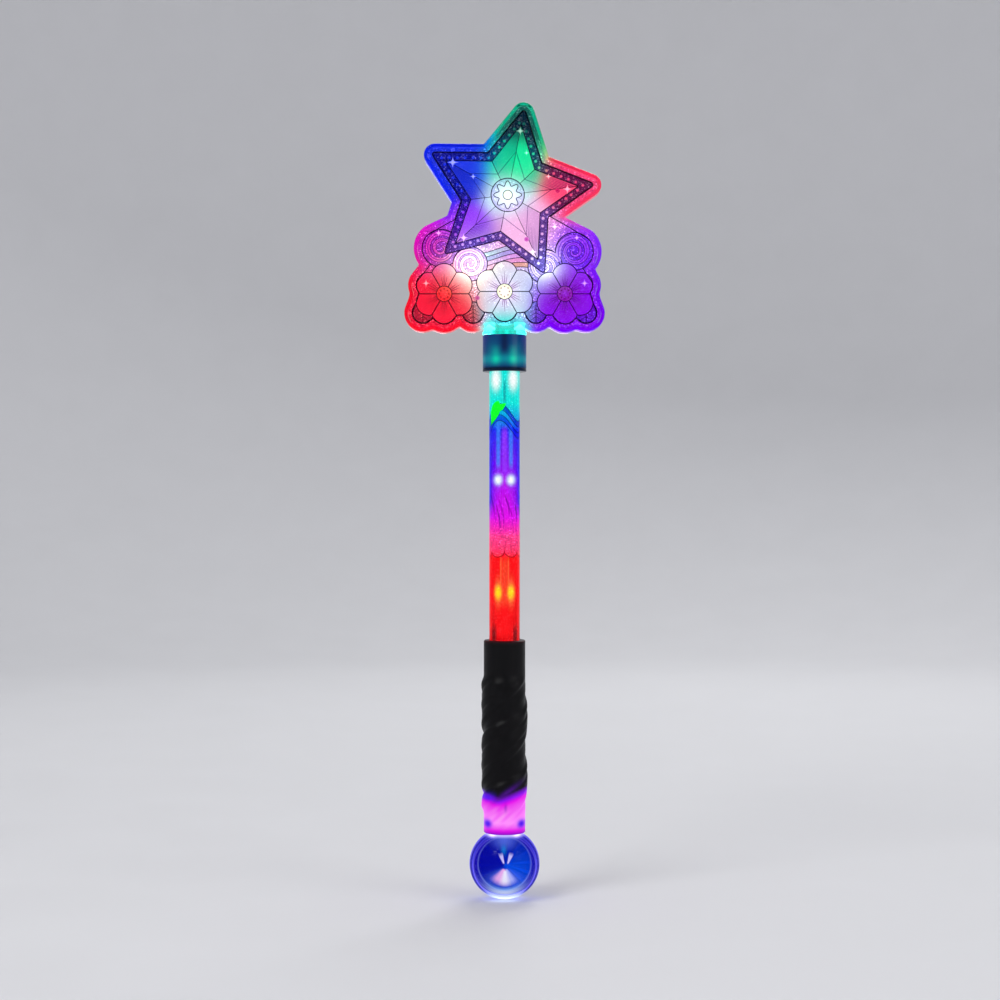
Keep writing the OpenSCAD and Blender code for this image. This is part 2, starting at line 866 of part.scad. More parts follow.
// Door panel with the lug that its screw passes through
module battery_door() {
    color([0.06, 0.05, 0.08])
        difference() {
            union() {
                back_slab(door_half_angle, bore_r, grip_r, door_z0, bay_z1);
                intersection() {
                    rod_y(lug_r, 0, door_screw_z, lug_seat, grip_r);
                    translate([0, 0, door_z0])
                        cylinder(r = mid_wall_r, h = door_screw_bay);
                }
            }
            rod_y(door_shank_r + fit, 0, door_screw_z, lug_seat - over, grip_r);
            rod_y(door_head_r + fit, 0, door_screw_z, door_seat_y, grip_r + over);
        }
}

module door_screw() {
    color("silver")
        screw_y(
            0, door_screw_z, door_head_r, door_head_t, door_shank_r,
            lug_seat - door_shank_len, door_seat_y + door_head_t
        );
}

// Point in the gap between two cells, at a reach and an angle about the axis
function gap_point(reach, angle, z) = [reach * cos(angle), reach * sin(angle), z];

// End plates joined by a rib in each front gap, with ways for the leads and the contact tails
module battery_cradle() {
    color("dimgray")
        difference() {
            union() {
                for (z = [bay_z0, bay_z1 - cradle_end_t])
                    translate([0, 0, z])
                        cylinder(r = bore_r - fit, h = cradle_end_t);
                for (a = gap_angles)
                    translate(gap_point(rib_reach, a, bay_z0))
                        cylinder(r = rib_r, h = battery_bay);
            }
            for (a = gap_angles)
                translate(gap_point(lead_reach, a, bay_z0 - over))
                    cylinder(r = lead_r + loose_fit, h = battery_bay + 2 * over);
            for (p = [cell_places[1], cell_places[2]])
                contact_tail(p, loose_fit);
        }
}

// Strip that rises from a contact to the face of the control board
module contact_tail(place, grow) {
    block(
        [place.x - pin_w - grow, half_board - grow, cell_z1],
        [place.x + pin_w + grow, half_board + contact_t + grow, control_z0 + pin_w + grow]
    );
}

module contact_plates(z) {
    for (p = cell_places)
        translate([p.x, p.y, z])
            cylinder(r = contact_r, h = contact_t);
}

module upper_contacts() {
    color("gold") {
        contact_plates(cell_z1);
        for (p = [cell_places[1], cell_places[2]])
            contact_tail(p, 0);
    }
}

module lower_contacts() {
    color("gold")
        contact_plates(cell_z0 - contact_t);
}

// One cell with its nub up, or turned over
module cell(index) {
    place = cell_places[index];
    flip = cell_flips[index];
    body_z = flip ? cell_z0 + nub_t : cell_z0 + spring_len;
    nub_z = flip ? cell_z0 : cell_z1 - nub_t;
    translate([place.x, place.y, body_z])
        cylinder(r = cell_r, h = cell_len - nub_t);
    translate([place.x, place.y, nub_z])
        cylinder(r = nub_r, h = nub_t);
}

module battery_front() {
    color("gray")
        cell(0);
}

module battery_right() {
    color("gray")
        cell(1);
}

module battery_left() {
    color("gray")
        cell(2);
}

// Coil at the flat end of each cell
module contact_springs() {
    rise = spring_len - 2 * spring_wire_r;
    rings = spring_turns * turn_rings;
    color("silver")
        for (i = [0:len(cell_places) - 1]) {
            place = cell_places[i];
            base = cell_flips[i] ? cell_z1 - spring_len : cell_z0;
            path = [
                for (k = [0:rings])
                    let (a = 360 * k / turn_rings)
                    [
                        place.x + spring_r * cos(a),
                        place.y + spring_r * sin(a),
                        base + spring_wire_r + rise * k / rings
                    ]
            ];
            wire(path, spring_wire_r, [0, 0, 1]);
        }
}

// Two leads from the control board, past the cells, to the ball's board
module ball_lead_wires() {
    color("crimson")
        for (side = [-1, 1]) {
            gap = gap_point(lead_reach, side < 0 ? gap_angles[1] : gap_angles[0], 0);
            board_x = side * (bore_r - boss_r - 2 * lead_r);
            inner_x = side * (lug_r + 2 * lead_r);
            board_y = -half_board - lead_r;
            path = [
                [board_x, board_y, control_z1 - lead_r],
                [board_x, board_y, control_z1 - boss_r],
                [gap.x, gap.y, control_z0],
                [gap.x, gap.y, bay_z1],
                [gap.x, gap.y, bay_z0],
                [gap.x, gap.y, door_screw_z],
                [inner_x, gap.y, lower_screw_z + boss_r],
                [inner_x, gap.y, lower_screw_z],
                [inner_x, gap.y, neck_top_z + board_t]
            ];
            wire(path, lead_r, [0, 1, 0]);
        }
}

module ball_led_board() {
    color("darkgreen")
        translate([0, 0, neck_top_z])
            cylinder(r = ball_neck_r, h = board_t);
}

module ball_led() {
    color("deepskyblue")
        translate([0, 0, neck_top_z])
            mirror([0, 0, 1])
                round_lamp();
}

// Front half of the ball and its neck, with the groove for the disc and the pin seats
module ball_half() {
    difference() {
        union() {
            translate([0, 0, ball_z])
                sphere(r = ball_r);
            translate([0, 0, grip_z0])
                cylinder(r = ball_neck_r, h = neck_seat);
        }
        translate([0, 0, ball_z])
            sphere(r = ball_in_r);
        translate([0, 0, ball_z])
            cylinder(r = ball_neck_in_r, h = neck_top_z - ball_z + over);
        translate([0, 0, ball_z])
            rod_y(web_r + fit, 0, 0, -web_t / 2 - fit, over);
        for (side = [-1, 1])
            translate([0, 0, neck_pin_z])
                rotate([0, side * 90, 0])
                    cylinder(r = neck_pin_r + fit, h = grip_r);
        translate([-ball_d, 0, ball_z - ball_d])
            cube(2 * ball_d);
    }
}

module ball_front_half() {
    color([0.5, 0.6, 1, 0.35])
        ball_half();
}

module ball_back_half() {
    color([0.5, 0.6, 1, 0.35])
        mirror([0, 1, 0])
            ball_half();
}

// Lens with sloping faces on a thin web that the ball's seam holds
module ball_disc() {
    color([0.7, 0.8, 1, 0.5])
        translate([0, 0, ball_z]) {
            rod_y(web_r, 0, 0, -web_t / 2, web_t / 2);
            for (turn = [90, -90])
                rotate([turn, 0, 0]) {
                    cylinder(r = lens_r, h = lens_rim_t / 2);
                    translate([0, 0, lens_rim_t / 2])
                        cylinder(r1 = lens_r, r2 = web_t, h = (lens_t - lens_rim_t) / 2);
                }
        }
}

module ball_neck_pins() {
    color("indigo")
        for (side = [-1, 1])
            translate([side * neck_pin_x0, 0, neck_pin_z])
                rotate([0, side * 90, 0])
                    cylinder(r = neck_pin_r, h = neck_pin_x1 - neck_pin_x0);
}

head_front_shell();
head_back_shell();
front_print_film();
back_print_film();
head_board();
head_leds();
head_header_pins();
neck_collar();
clear_tube();
tube_print_film();
tube_board();
upper_tube_leds();
middle_tube_leds();
lower_tube_leds();
upper_board_spacer();
lower_board_spacer();
control_header_pins();
control_board();
switch_body();
switch_plunger();
push_button();
grip_front_shell();
grip_back_shell();
grip_screws();
battery_door();
door_screw();
battery_cradle();
battery_front();
battery_left();
battery_right();
upper_contacts();
lower_contacts();
contact_springs();
ball_lead_wires();
ball_led_board();
ball_led();
ball_front_half();
ball_back_half();
ball_disc();
ball_neck_pins();
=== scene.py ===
"""A light-up toy magic wand: clear star head, lit printed tube, carved black grip and clear ball."""

import json

import bmesh
import bpy
import numpy as np
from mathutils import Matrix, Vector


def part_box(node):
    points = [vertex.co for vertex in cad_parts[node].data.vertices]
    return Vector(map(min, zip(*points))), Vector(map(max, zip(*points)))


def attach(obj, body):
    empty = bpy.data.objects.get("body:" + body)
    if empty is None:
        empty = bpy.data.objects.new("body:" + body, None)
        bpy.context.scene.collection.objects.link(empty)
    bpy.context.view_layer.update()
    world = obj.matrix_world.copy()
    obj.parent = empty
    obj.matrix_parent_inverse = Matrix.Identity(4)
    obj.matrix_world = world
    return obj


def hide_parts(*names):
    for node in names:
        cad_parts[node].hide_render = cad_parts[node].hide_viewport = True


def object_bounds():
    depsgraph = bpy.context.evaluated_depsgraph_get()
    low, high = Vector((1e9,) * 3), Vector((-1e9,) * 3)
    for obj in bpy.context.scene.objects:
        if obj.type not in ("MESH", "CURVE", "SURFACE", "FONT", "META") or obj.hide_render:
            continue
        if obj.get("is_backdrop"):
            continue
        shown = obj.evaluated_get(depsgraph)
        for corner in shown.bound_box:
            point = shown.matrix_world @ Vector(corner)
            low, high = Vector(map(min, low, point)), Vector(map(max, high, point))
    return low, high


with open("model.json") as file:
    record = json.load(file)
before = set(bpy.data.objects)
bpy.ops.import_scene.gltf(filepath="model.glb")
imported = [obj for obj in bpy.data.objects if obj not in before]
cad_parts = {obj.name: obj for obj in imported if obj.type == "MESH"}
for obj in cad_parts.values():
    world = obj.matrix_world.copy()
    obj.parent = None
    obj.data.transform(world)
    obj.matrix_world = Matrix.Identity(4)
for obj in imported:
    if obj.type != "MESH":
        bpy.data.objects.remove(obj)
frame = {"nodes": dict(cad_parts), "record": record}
cad_low, cad_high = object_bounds()

# The view: the wand stands upright and face on to a level camera a little over a metre away,
# which sees 640 mm across at the wand's middle plane.
mm = 0.001
view_distance, view_across = 1300 * mm, 640 * mm
camera = bpy.data.objects.new("camera", bpy.data.cameras.new("camera"))
camera.location = (-2.9 * mm, -view_distance, 151 * mm)
camera.rotation_euler = (np.pi / 2, 0, 0)
camera.data.lens = camera.data.sensor_width * view_distance / view_across
bpy.context.scene.collection.objects.link(camera)
bpy.context.scene.camera = camera
bpy.context.scene.view_settings.view_transform = "Standard"

# The studio: a pale floor just under the ball, turned up at its edge into a round pale wall, and three
# large soft lamps.
floor_z = cad_low.z - 0.2 * mm
floor_reach, wall_reach, wall_height = 1.9, 3.0, 3.4
merge_gap, crease_angle = 0.0005 * mm, np.radians(38)


def build_mesh(name, grids):
    """One mesh from grids of points. Each quad joins four neighbouring points, a wrapped side closes on
    its start, points that meet at poles and seams merge, and the faces of closed forms turn outwards."""
    mesh = bpy.data.meshes.new(name)
    quads, first = [], 0
    for grid in grids:
        rows, columns = grid["points"].shape[:2]
        number = first + np.arange(rows * columns).reshape(rows, columns)
        wrap_rows, wrap_columns = grid.get("wrap", (False, False))
        number = np.vstack([number, number[:1]]) if wrap_rows else number
        number = np.hstack([number, number[:, :1]]) if wrap_columns else number
        corners = np.stack([number[:-1, :-1], number[1:, :-1], number[1:, 1:], number[:-1, 1:]], -1)
        quads.append(corners[grid["keep"]] if "keep" in grid else corners.reshape(-1, 4))
        first += rows * columns
    points = np.concatenate([grid["points"].reshape(-1, 3) for grid in grids])
    quads = np.concatenate(quads)
    mesh.vertices.add(len(points))
    mesh.vertices.foreach_set("co", points.astype(np.float32).ravel())
    mesh.loops.add(quads.size)
    mesh.loops.foreach_set("vertex_index", quads.astype(np.int32).ravel())
    mesh.polygons.add(len(quads))
    mesh.polygons.foreach_set("loop_start", np.arange(0, quads.size, 4, dtype=np.int32))
    for layer in ("paint", "glow"):
        if layer in grids[0]:
            colours = [np.broadcast_to(grid[layer], (*grid["points"].shape[:2], 4)).reshape(-1, 4)
                       for grid in grids]
            attribute = mesh.attributes.new(layer, "FLOAT_COLOR", "POINT")
            attribute.data.foreach_set("color", np.concatenate(colours).astype(np.float32).ravel())
    mesh.update(calc_edges=True)
    work = bmesh.new()
    work.from_mesh(mesh)
    bmesh.ops.remove_doubles(work, verts=work.verts, dist=merge_gap)
    bmesh.ops.delete(work, geom=[v for v in work.verts if not v.link_faces], context="VERTS")
    if all(grid.get("solid", True) for grid in grids):
        bmesh.ops.recalc_face_normals(work, faces=work.faces)
    work.to_mesh(mesh)
    work.free()
    mesh.shade_smooth()
    mesh.set_sharp_from_angle(angle=crease_angle)
    return mesh


def loop(count):
    """Even angles right round, without the last, which is the first again."""
    return np.linspace(0, 2 * np.pi, count, endpoint=False)


def turned(profile, turn):
    """A lathe form about the wand's axis: each (radius, height) of the profile carried round through the
    turn."""
    radius, height = np.asarray(profile, float).T
    x = radius[None] * np.sin(turn)[:, None]
    y = -radius[None] * np.cos(turn)[:, None]
    return np.stack([x, y, np.broadcast_to(height, x.shape)], -1)


def put(tree, kind, inputs=None, **settings):
    """Adds a shader node: settings are its properties, inputs its sockets, each a value or an output to
    link."""
    made = tree.nodes.new(kind)
    for key, value in settings.items():
        setattr(made, key, value)
    for key, value in (inputs or {}).items():
        if isinstance(value, bpy.types.NodeSocket):
            tree.links.new(value, made.inputs[key])
        else:
            made.inputs[key].default_value = value
    return made


def colour(red, green, blue):
    """A colour named by its screen values, 0 to 255, as the light it stands for."""
    share = np.array([red, green, blue]) / 255
    light = np.where(share <= 0.04045, share / 12.92, ((share + 0.055) / 1.055) ** 2.4)
    return np.append(light, 1.0)


def moulded(name, tone, rough, grain, depth, mottle=0.16, glow=None, **sockets):
    """A moulded finish: the tone with a slow mottle, a roughness that drifts and a fine grain raised by
    bump. The grain is the size of its bumps and the depth their height, both in metres. The tone is a
    colour or the name of the piece's own colour layer, and glow names the layer of the light that it
    gives off."""
    material = bpy.data.materials.new(name)
    material.use_nodes = True
    tree = material.node_tree
    shader = tree.nodes["Principled BSDF"]
    for socket, value in sockets.items():
        shader.inputs[socket.replace("_", " ")].default_value = value
    place = put(tree, "ShaderNodeTexCoord").outputs["Object"]

    def noise(scale, detail):
        settings = {"Vector": place, "Scale": scale, "Detail": detail}
        return put(tree, "ShaderNodeTexNoise", settings).outputs["Fac"]

    drift, fine = noise(0.08 / grain, 4.0), noise(1 / grain, 3.0)

    def spread(low, high):
        return put(tree, "ShaderNodeMapRange", {"Value": drift, "From Min": 0.3, "From Max": 0.7,
                                                "To Min": low, "To Max": high}).outputs["Result"]

    if isinstance(tone, str):
        tone = put(tree, "ShaderNodeAttribute", attribute_name=tone).outputs["Color"]
    else:
        tone = tuple(tone[:3])
    mottled = {0: tone, "Scale": spread(1 - mottle, 1 + mottle)}
    body = put(tree, "ShaderNodeVectorMath", mottled, operation="SCALE")
    tree.links.new(body.outputs["Vector"], shader.inputs["Base Color"])
    tree.links.new(spread(rough * 0.8, rough * 1.2), shader.inputs["Roughness"])
    bump = put(tree, "ShaderNodeBump", {"Height": fine, "Distance": depth, "Strength": 0.6})
    tree.links.new(bump.outputs["Normal"], shader.inputs["Normal"])
    if glow:
        light = put(tree, "ShaderNodeAttribute", attribute_name=glow)
        tree.links.new(light.outputs["Color"], shader.inputs["Emission Color"])
        shader.inputs["Emission Strength"].default_value = 1.0
    return material


def add_object(name, mesh, material):
    """Shows a mesh under its name with its finish."""
    mesh.materials.append(material)
    made = bpy.data.objects.new(name, mesh)
    bpy.context.scene.collection.objects.link(made)
    return made


bend = np.linspace(0, np.pi / 2, 16)
floor_profile = np.concatenate([
    [[0.0, floor_z]],
    np.stack([floor_reach + (wall_reach - floor_reach) * np.sin(bend),
              floor_z + (wall_reach - floor_reach) * (1 - np.cos(bend))], 1),
    [[wall_reach, floor_z + wall_height]],
])
floor_grid = {"points": turned(floor_profile, loop(96)), "wrap": (True, False), "solid": False}
paper_finish = moulded("pale_paper", (0.72, 0.72, 0.74, 1), 0.8, 6 * mm, 0.004 * mm, mottle=0.01,
                       Specular_IOR_Level=0.1)
floor = add_object("studio_floor", build_mesh("studio_floor", [floor_grid]), paper_finish)
floor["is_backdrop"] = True

world = bpy.data.worlds.new("studio_sky")
world.use_nodes = True
world.node_tree.nodes["Background"].inputs["Color"].default_value = (0.95, 0.97, 1.0, 1)
world.node_tree.nodes["Background"].inputs["Strength"].default_value = 0.45
bpy.context.scene.world = world

lit_point = np.array([0, 0, 0.15])
for name, place, size, power in (
    ("key_lamp", (-1.3, -1.5, 1.7), 1.3, 28),
    ("fill_lamp", (1.6, -1.1, 0.9), 1.5, 11),
    ("rear_lamp", (0.5, 1.7, 1.6), 1.4, 18),
):
    lamp = bpy.data.lights.new(name, "AREA")
    lamp.shape, lamp.size, lamp.energy = "DISK", size, power
    holder = bpy.data.objects.new(name, lamp)
    holder.location = place
    way = lit_point - place
    tilt, swing = np.arctan2(np.hypot(way[0], way[1]), -way[2]), np.arctan2(way[1], way[0]) - np.pi / 2
    holder.rotation_euler = (tilt, 0, swing)
    bpy.context.scene.collection.objects.link(holder)

# The boards inside: green glass-fibre laminate with a solder mask, a cross in the head, a strip stood on
# edge in the tube, one across the grip and a round one over the ball, joined by soldered pins. With them
# come the plated metal pieces, the white spacers and the black mouldings of the switch and the cradle.
board_finish = moulded("solder_mask", colour(14, 74, 38), 0.35, 0.6 * mm, 0.02 * mm, Coat_Weight=0.3)
metal_finish = moulded("nickel_plate", (0.72, 0.71, 0.69, 1), 0.28, 0.25 * mm, 0.01 * mm, Metallic=1.0)
spacer_finish = moulded("white_moulding", (0.8, 0.8, 0.78, 1), 0.45, 0.5 * mm, 0.02 * mm)
black_finish = moulded("black_moulding", (0.02, 0.02, 0.023, 1), 0.5, 0.4 * mm, 0.03 * mm)


def dress(material, *nodes):
    """Gives CAD nodes a finish in place of the one they were packed with."""
    for name in nodes:
        mesh = frame["nodes"][name].data
        mesh.materials.clear()
        mesh.materials.append(material)


dress(board_finish, "head_board", "tube_board", "control_board", "ball_led_board")
dress(metal_finish, "head_header_pins", "control_header_pins", "upper_contacts", "lower_contacts",
      "grip_screws", "door_screw")
dress(spacer_finish, "upper_board_spacer", "lower_board_spacer")
dress(black_finish, "switch_body", "switch_plunger", "battery_cradle")

# The lamps: small moulded lenses on the boards, lit white in the head, cyan, violet and amber down the tube
# and blue over the ball.
for slot, tone in (("white_lamp", colour(255, 250, 240)), ("cyan_lamp", colour(190, 255, 255)),
                   ("violet_lamp", colour(215, 220, 255)), ("amber_lamp", colour(255, 215, 60)),
                   ("blue_lamp", colour(120, 160, 255))):
    lens_finish = moulded(slot, tone, 0.12, 0.4 * mm, 0.005 * mm, Emission_Color=tuple(tone),
                          Emission_Strength=2.0)
    lamp_nodes = [part["node"] for part in frame["record"]["subparts"] if part["material_slot"] == slot]
    dress(lens_finish, *lamp_nodes)

# The head's two print films: clear sheet printed with a star over blossoms, scrolls and waves, with glitter
# in the ink, lying against the inside of each face and lit from between by the board's lamps.
collar_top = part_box("neck_collar")[1].z


def heading(turn):
    """Unit ways in the plane of the head at angles from +X towards +Z."""
    return np.stack([np.cos(turn), np.sin(turn)], -1)


star_middle = np.array([2 * mm, collar_top + 89 * mm])
star_tip, star_corner, star_lean, star_nose = 53 * mm, 28 * mm, np.radians(11), 2.6 * mm
blossom_gap, blossom_rise, petal_reach, petal_r = 38.5 * mm, 26 * mm, 11.2 * mm, 8.8 * mm
blossoms = np.array([[-blossom_gap, collar_top + blossom_rise],
                     [0, collar_top + blossom_rise + 1.5 * mm],
                     [blossom_gap, collar_top + blossom_rise]])
petal_ways = np.radians(90 + 60 * np.arange(6))
petals = (blossoms[:, None] + petal_reach * heading(petal_ways)).reshape(-1, 2)
leaves = np.array([[side * blossom_gap, collar_top + 14 * mm] for side in (-1.35, -0.52, 0.52, 1.35)])
leaf_r = 7.5 * mm
scrolls = star_middle + star_tip * np.array([(-0.8, -0.64), (-0.45, -0.83), (0.8, -0.68), (0.45, -0.86)])
scroll_r = np.array([13, 11.96, 13, 11.96]) * mm
lobes = np.concatenate([np.column_stack([places, np.broadcast_to(size, len(places))])
                        for places, size in ((petals, petal_r), (leaves, leaf_r), (scrolls, scroll_r))])
head_turn = loop(1080)


def star_reach(turn, grow):
    """How far the star's outline lies from its middle along each ray: five straight arms with round
    noses."""
    off = np.abs((turn - np.pi / 2 + star_lean + np.pi / 5) % (2 * np.pi / 5) - np.pi / 5)
    edge = star_corner * heading(np.pi / 5) - (star_tip, 0)
    out = np.array([edge[1], -edge[0]]) / np.hypot(*edge)
    width = star_nose + grow
    side = (star_tip * out[0] + width) / (np.cos(off) * out[0] + np.sin(off) * out[1])
    nose = star_tip * np.cos(off) + np.sqrt(np.maximum(width ** 2 - (star_tip * np.sin(off)) ** 2, 0))
    return np.where(off < np.arctan2(width * out[1], star_tip + width * out[0]), nose, side)


def head_reach(grow):
    """How far the head's outline lies from the star's middle along each ray: the furthest of the star and
    the round lobes, all grown by a border, with the notches between them eased over five neighbouring
    rays."""
    middle = lobes[:, :2] - star_middle
    along = heading(head_turn) @ middle.T
    inside = (lobes[:, 2] + grow) ** 2 - (np.sum(middle ** 2, 1) - along ** 2)
    far = np.where(inside > 0, along + np.sqrt(np.maximum(inside, 0)), 0)
    reach = np.maximum(star_reach(head_turn, grow), far.max(1))
    return np.mean([np.roll(reach, step) for step in range(-2, 3)], 0)


def on_arm(number, share):
    """A place on an arm of the star, counted from the top one to the left, at a share of its length."""
    return star_middle + share * star_tip * heading(np.pi / 2 - star_lean + number * 2 * np.pi / 5)


red, coral, pink, magenta = (255, 20, 60), (255, 70, 120), (255, 190, 240), (220, 10, 190)
violet, lilac, blue, cyan = (140, 0, 240), (150, 50, 255), (20, 50, 230), (0, 230, 220)
green, pine, ice, warm_white = (0, 235, 160), (10, 105, 85), (210, 240, 255), (255, 245, 220)
root_place = np.array([0, collar_top + 3 * mm])


def head_light(x, z):
    """The light that reaches a point of the head, a mix of its lamps' colours. One lamp shines behind each
    blossom, each scroll and each arm of the star, and more in the star's middle, at its top and at the
    root. A lamp is its place, its spread in mm, its colour and its level: it counts by a bell of its
    spread about its place, and the higher its level, the more it burns out to white close by."""
    lamps = (
        (blossoms[0], 16, red, 0), (blossoms[1], 12, ice, 1), (blossoms[2], 16, violet, 0),
        (scrolls[0], 12, magenta, 0), (scrolls[1], 14, warm_white, 2.2), (scrolls[2], 12, lilac, 0),
        (scrolls[3], 10, ice, 1.6), (on_arm(0, 0.36), 12, green, 0), (on_arm(0, 1), 13, pine, 0),
        (on_arm(1, 0.7), 16, blue, 0), (on_arm(2, 0.7), 13, lilac, 0), (on_arm(3, 0.55), 15, pink, 0),
        (on_arm(4, 0.85), 15, coral, 0), (star_middle, 10, ice, 1), (root_place, 8, cyan, 0),
    )
    places, spreads, tones, levels = [np.array(column) for column in zip(*lamps)]
    tones = np.array([colour(*tone)[:3] for tone in tones])
    far = ((x[..., None] - places[:, 0]) ** 2 + (z[..., None] - places[:, 1]) ** 2) / (spreads * mm) ** 2
    weight = np.exp(-far) + 1e-9
    burnt = np.exp(-far / 0.75 ** 2) @ levels[:, None]
    return weight @ tones / weight.sum(-1, keepdims=True) * (1 + 0.5 * burnt) + 0.25 * burnt


def fan(middle, edge, rings, inner, outer):
    """A filled cell: straight rays from its middle to every point of its edge, painted from inner to
    outer."""
    share = np.linspace(0, 1, rings + 1)[None, :, None]
    points = middle + (edge[:, None] - middle) * share
    paint = np.array(inner) + (np.array(outer) - inner) * share
    return points, np.broadcast_to(paint, points.shape[:2] + (4,))


def stroke(path, half_width, paint, across=1):
    """A drawn line: a strip carried along a path, to either side of it by the half width."""
    way = np.gradient(path, axis=0)
    side = np.stack([-way[:, 1], way[:, 0]], 1) / np.linalg.norm(way, axis=1, keepdims=True)
    share = np.linspace(-1, 1, across + 1)[None, :, None]
    points = path[:, None] + side[:, None] * np.reshape(half_width, (-1, 1, 1)) * share
    return points, np.broadcast_to(np.array(paint, float), points.shape[:2] + (4,))


def ring(middle, reach, count=60):
    """Points round a middle at a reach, which may change with the angle; the last meets the first."""
    turn = np.linspace(0, 2 * np.pi, count + 1)
    reach = np.broadcast_to(reach(turn) if callable(reach) else reach, turn.shape)
    return middle + reach[:, None] * heading(turn)


def between(start, end, count):
    """Points along a straight line."""
    return np.array(start) + (np.array(end) - start) * np.linspace(0, 1, count)[:, None]


def sparkle(middle, size, count, inner, outer):
    """A glint with four points: its edge lies at the size over the square of the summed roots of the
    angle's sine and cosine."""
    def edge(turn):
        return size * (np.sqrt(np.abs(np.cos(turn))) + np.sqrt(np.abs(np.sin(turn)))) ** -2

    return fan(middle, ring(middle, edge, count), 2, inner, outer)


def pick_along(path, picks):
    """Points of a path at distances along it, which picks works out from the path's whole length."""
    gone = np.concatenate([[0], np.cumsum(np.linalg.norm(np.diff(path, axis=0), axis=1))])
    return np.stack([np.interp(picks(gone[-1]), gone, column) for column in path.T], 1)


ink = (0.02, 0.01, 0.05, 0)
line = 0.3 * mm
drawing = []


def draw(layer, cell):
    """Adds a cell or a line to the head's picture; higher layers lie over lower ones."""
    drawing.append((layer, *cell))


wave_x = np.linspace(-43, 43, 90) * mm
wave_foot, wave_step, wave_swing, wave_length = collar_top + 40 * mm, 2.9 * mm, 3.2 * mm, 9.5 * mm
wave_paints = [(1, 0.62, 0.4, 0.5), (1, 0.6, 0.85, 0.5), (0.8, 0.62, 1, 0.5), (0.5, 0.62, 1, 0.5),
               (0.6, 0.95, 1, 0.5)]
for step in range(len(wave_paints) + 1):
    wave_z = wave_foot + wave_step * step + wave_swing * np.sin(wave_x / wave_length + 0.5)
    wave = np.stack([wave_x, wave_z], 1)
    if step < len(wave_paints):
        draw(1, stroke(wave + (0, wave_step / 2), 1.5 * mm, wave_paints[step], 3))
    draw(2, stroke(wave, line * 0.8, ink))

scroll_paints = [(1, 0.88, 1, 0.5), (1.05, 0.85, 0.95, 0.5), (1, 0.9, 1.05, 0.5), (1.05, 0.9, 1, 0.5)]
for middle, size, hand, paint in zip(scrolls, scroll_r, (1, -1, -1, 1), scroll_paints):
    rim = size - 1.0 * mm
    draw(3, fan(middle, ring(middle, rim), 6, (0.46, 0.34, 0.82, 1), (0.62, 0.5, 0.96, 1)))
    draw(4, stroke(ring(middle, rim, 90), line, ink))
    run = np.linspace(0, 1, 120)
    curl = np.radians(-70) + hand * (np.pi / 2 + run * 4.2 * np.pi)
    spiral = middle + (size * (0.8 - 0.68 * run))[:, None] * heading(curl)
    width = size * 0.125 * (1 - 0.7 * run)
    draw(4, stroke(spiral, width + line, ink))
    draw(5, stroke(spiral, width, paint, 2))
    draw(6, stroke(spiral[:80], width[:80] * 0.16, (0.35, 0.2, 0.6, 0)))

for middle in leaves:
    rim = leaf_r - 0.6 * mm
    draw(7, fan(middle, ring(middle, rim), 4, (0.75, 1, 0.9, 0.4), (0.4, 0.6, 0.7, 0.6)))
    draw(8, stroke(ring(middle, rim), line, ink))
    draw(8, stroke(between(middle + (0, 5 * mm), middle - (0, leaf_r - 1 * mm), 16), line * 0.8, ink))
    for side in (-1, 1):
        for rise in (2.5, 0, -2.5):
            rib_tip = middle + (side * (4.8 - abs(rise) / 3) * mm, (rise - 2.6) * mm)
            rib = between(middle + (0, rise * mm), rib_tip, 10)
            draw(8, stroke(rib, np.linspace(0.22, 0.06, 10) * mm, ink))


def petal_edge(turn):
    """The furthest of six round petals along each ray from the blossom's middle."""
    off = (turn - np.pi / 2 + np.pi / 6) % (np.pi / 3) - np.pi / 6
    return petal_reach * np.cos(off) + np.sqrt((petal_r - 0.7 * mm) ** 2 - (petal_reach * np.sin(off)) ** 2)


vein_paint, seed_paint = (0.32, 0.12, 0.3, 0), (0.5, 0.2, 0.2, 0)
eye_r, eye_rim, seed_reach, seed_r, vein_start = 4.7 * mm, 5.2 * mm, 3.1 * mm, 0.55 * mm, 5.4 * mm
for order, middle in ((0, blossoms[0]), (0, blossoms[2]), (1, blossoms[1])):
    lowest = 9 + 3 * order
    outline = ring(middle, petal_edge, 180)
    draw(lowest, fan(middle, outline, 8, (0.8, 0.42, 0.6, 0.3), (1, 1, 1, 0.1)))
    draw(lowest + 1, stroke(outline, line, ink))
    for way in petal_ways:
        notch = heading(way + np.pi / 6)
        parting = between(middle + 4.5 * mm * notch, middle + petal_edge(way + np.pi / 6) * notch, 12)
        draw(lowest + 1, stroke(parting, line, ink))
        for lean in (-0.16, 0, 0.16):
            vein_way = heading(way + lean)
            vein_end = (13 - 14 * abs(lean)) * mm
            vein = between(middle + vein_start * vein_way, middle + vein_end * vein_way, 10)
            draw(lowest + 1, stroke(vein, np.linspace(0.26, 0.05, 10) * mm, vein_paint))
    draw(lowest + 1, fan(middle, ring(middle, eye_rim), 2, ink, ink))
    draw(lowest + 2, fan(middle, ring(middle, eye_r), 3, (1, 0.95, 0.75, 0.3), (1, 0.8, 0.5, 0.3)))
    for way in np.radians(45 * np.arange(8)):
        seed = middle + seed_reach * heading(way)
        draw(lowest + 3, fan(seed, ring(seed, seed_r, 14), 1, seed_paint, seed_paint))

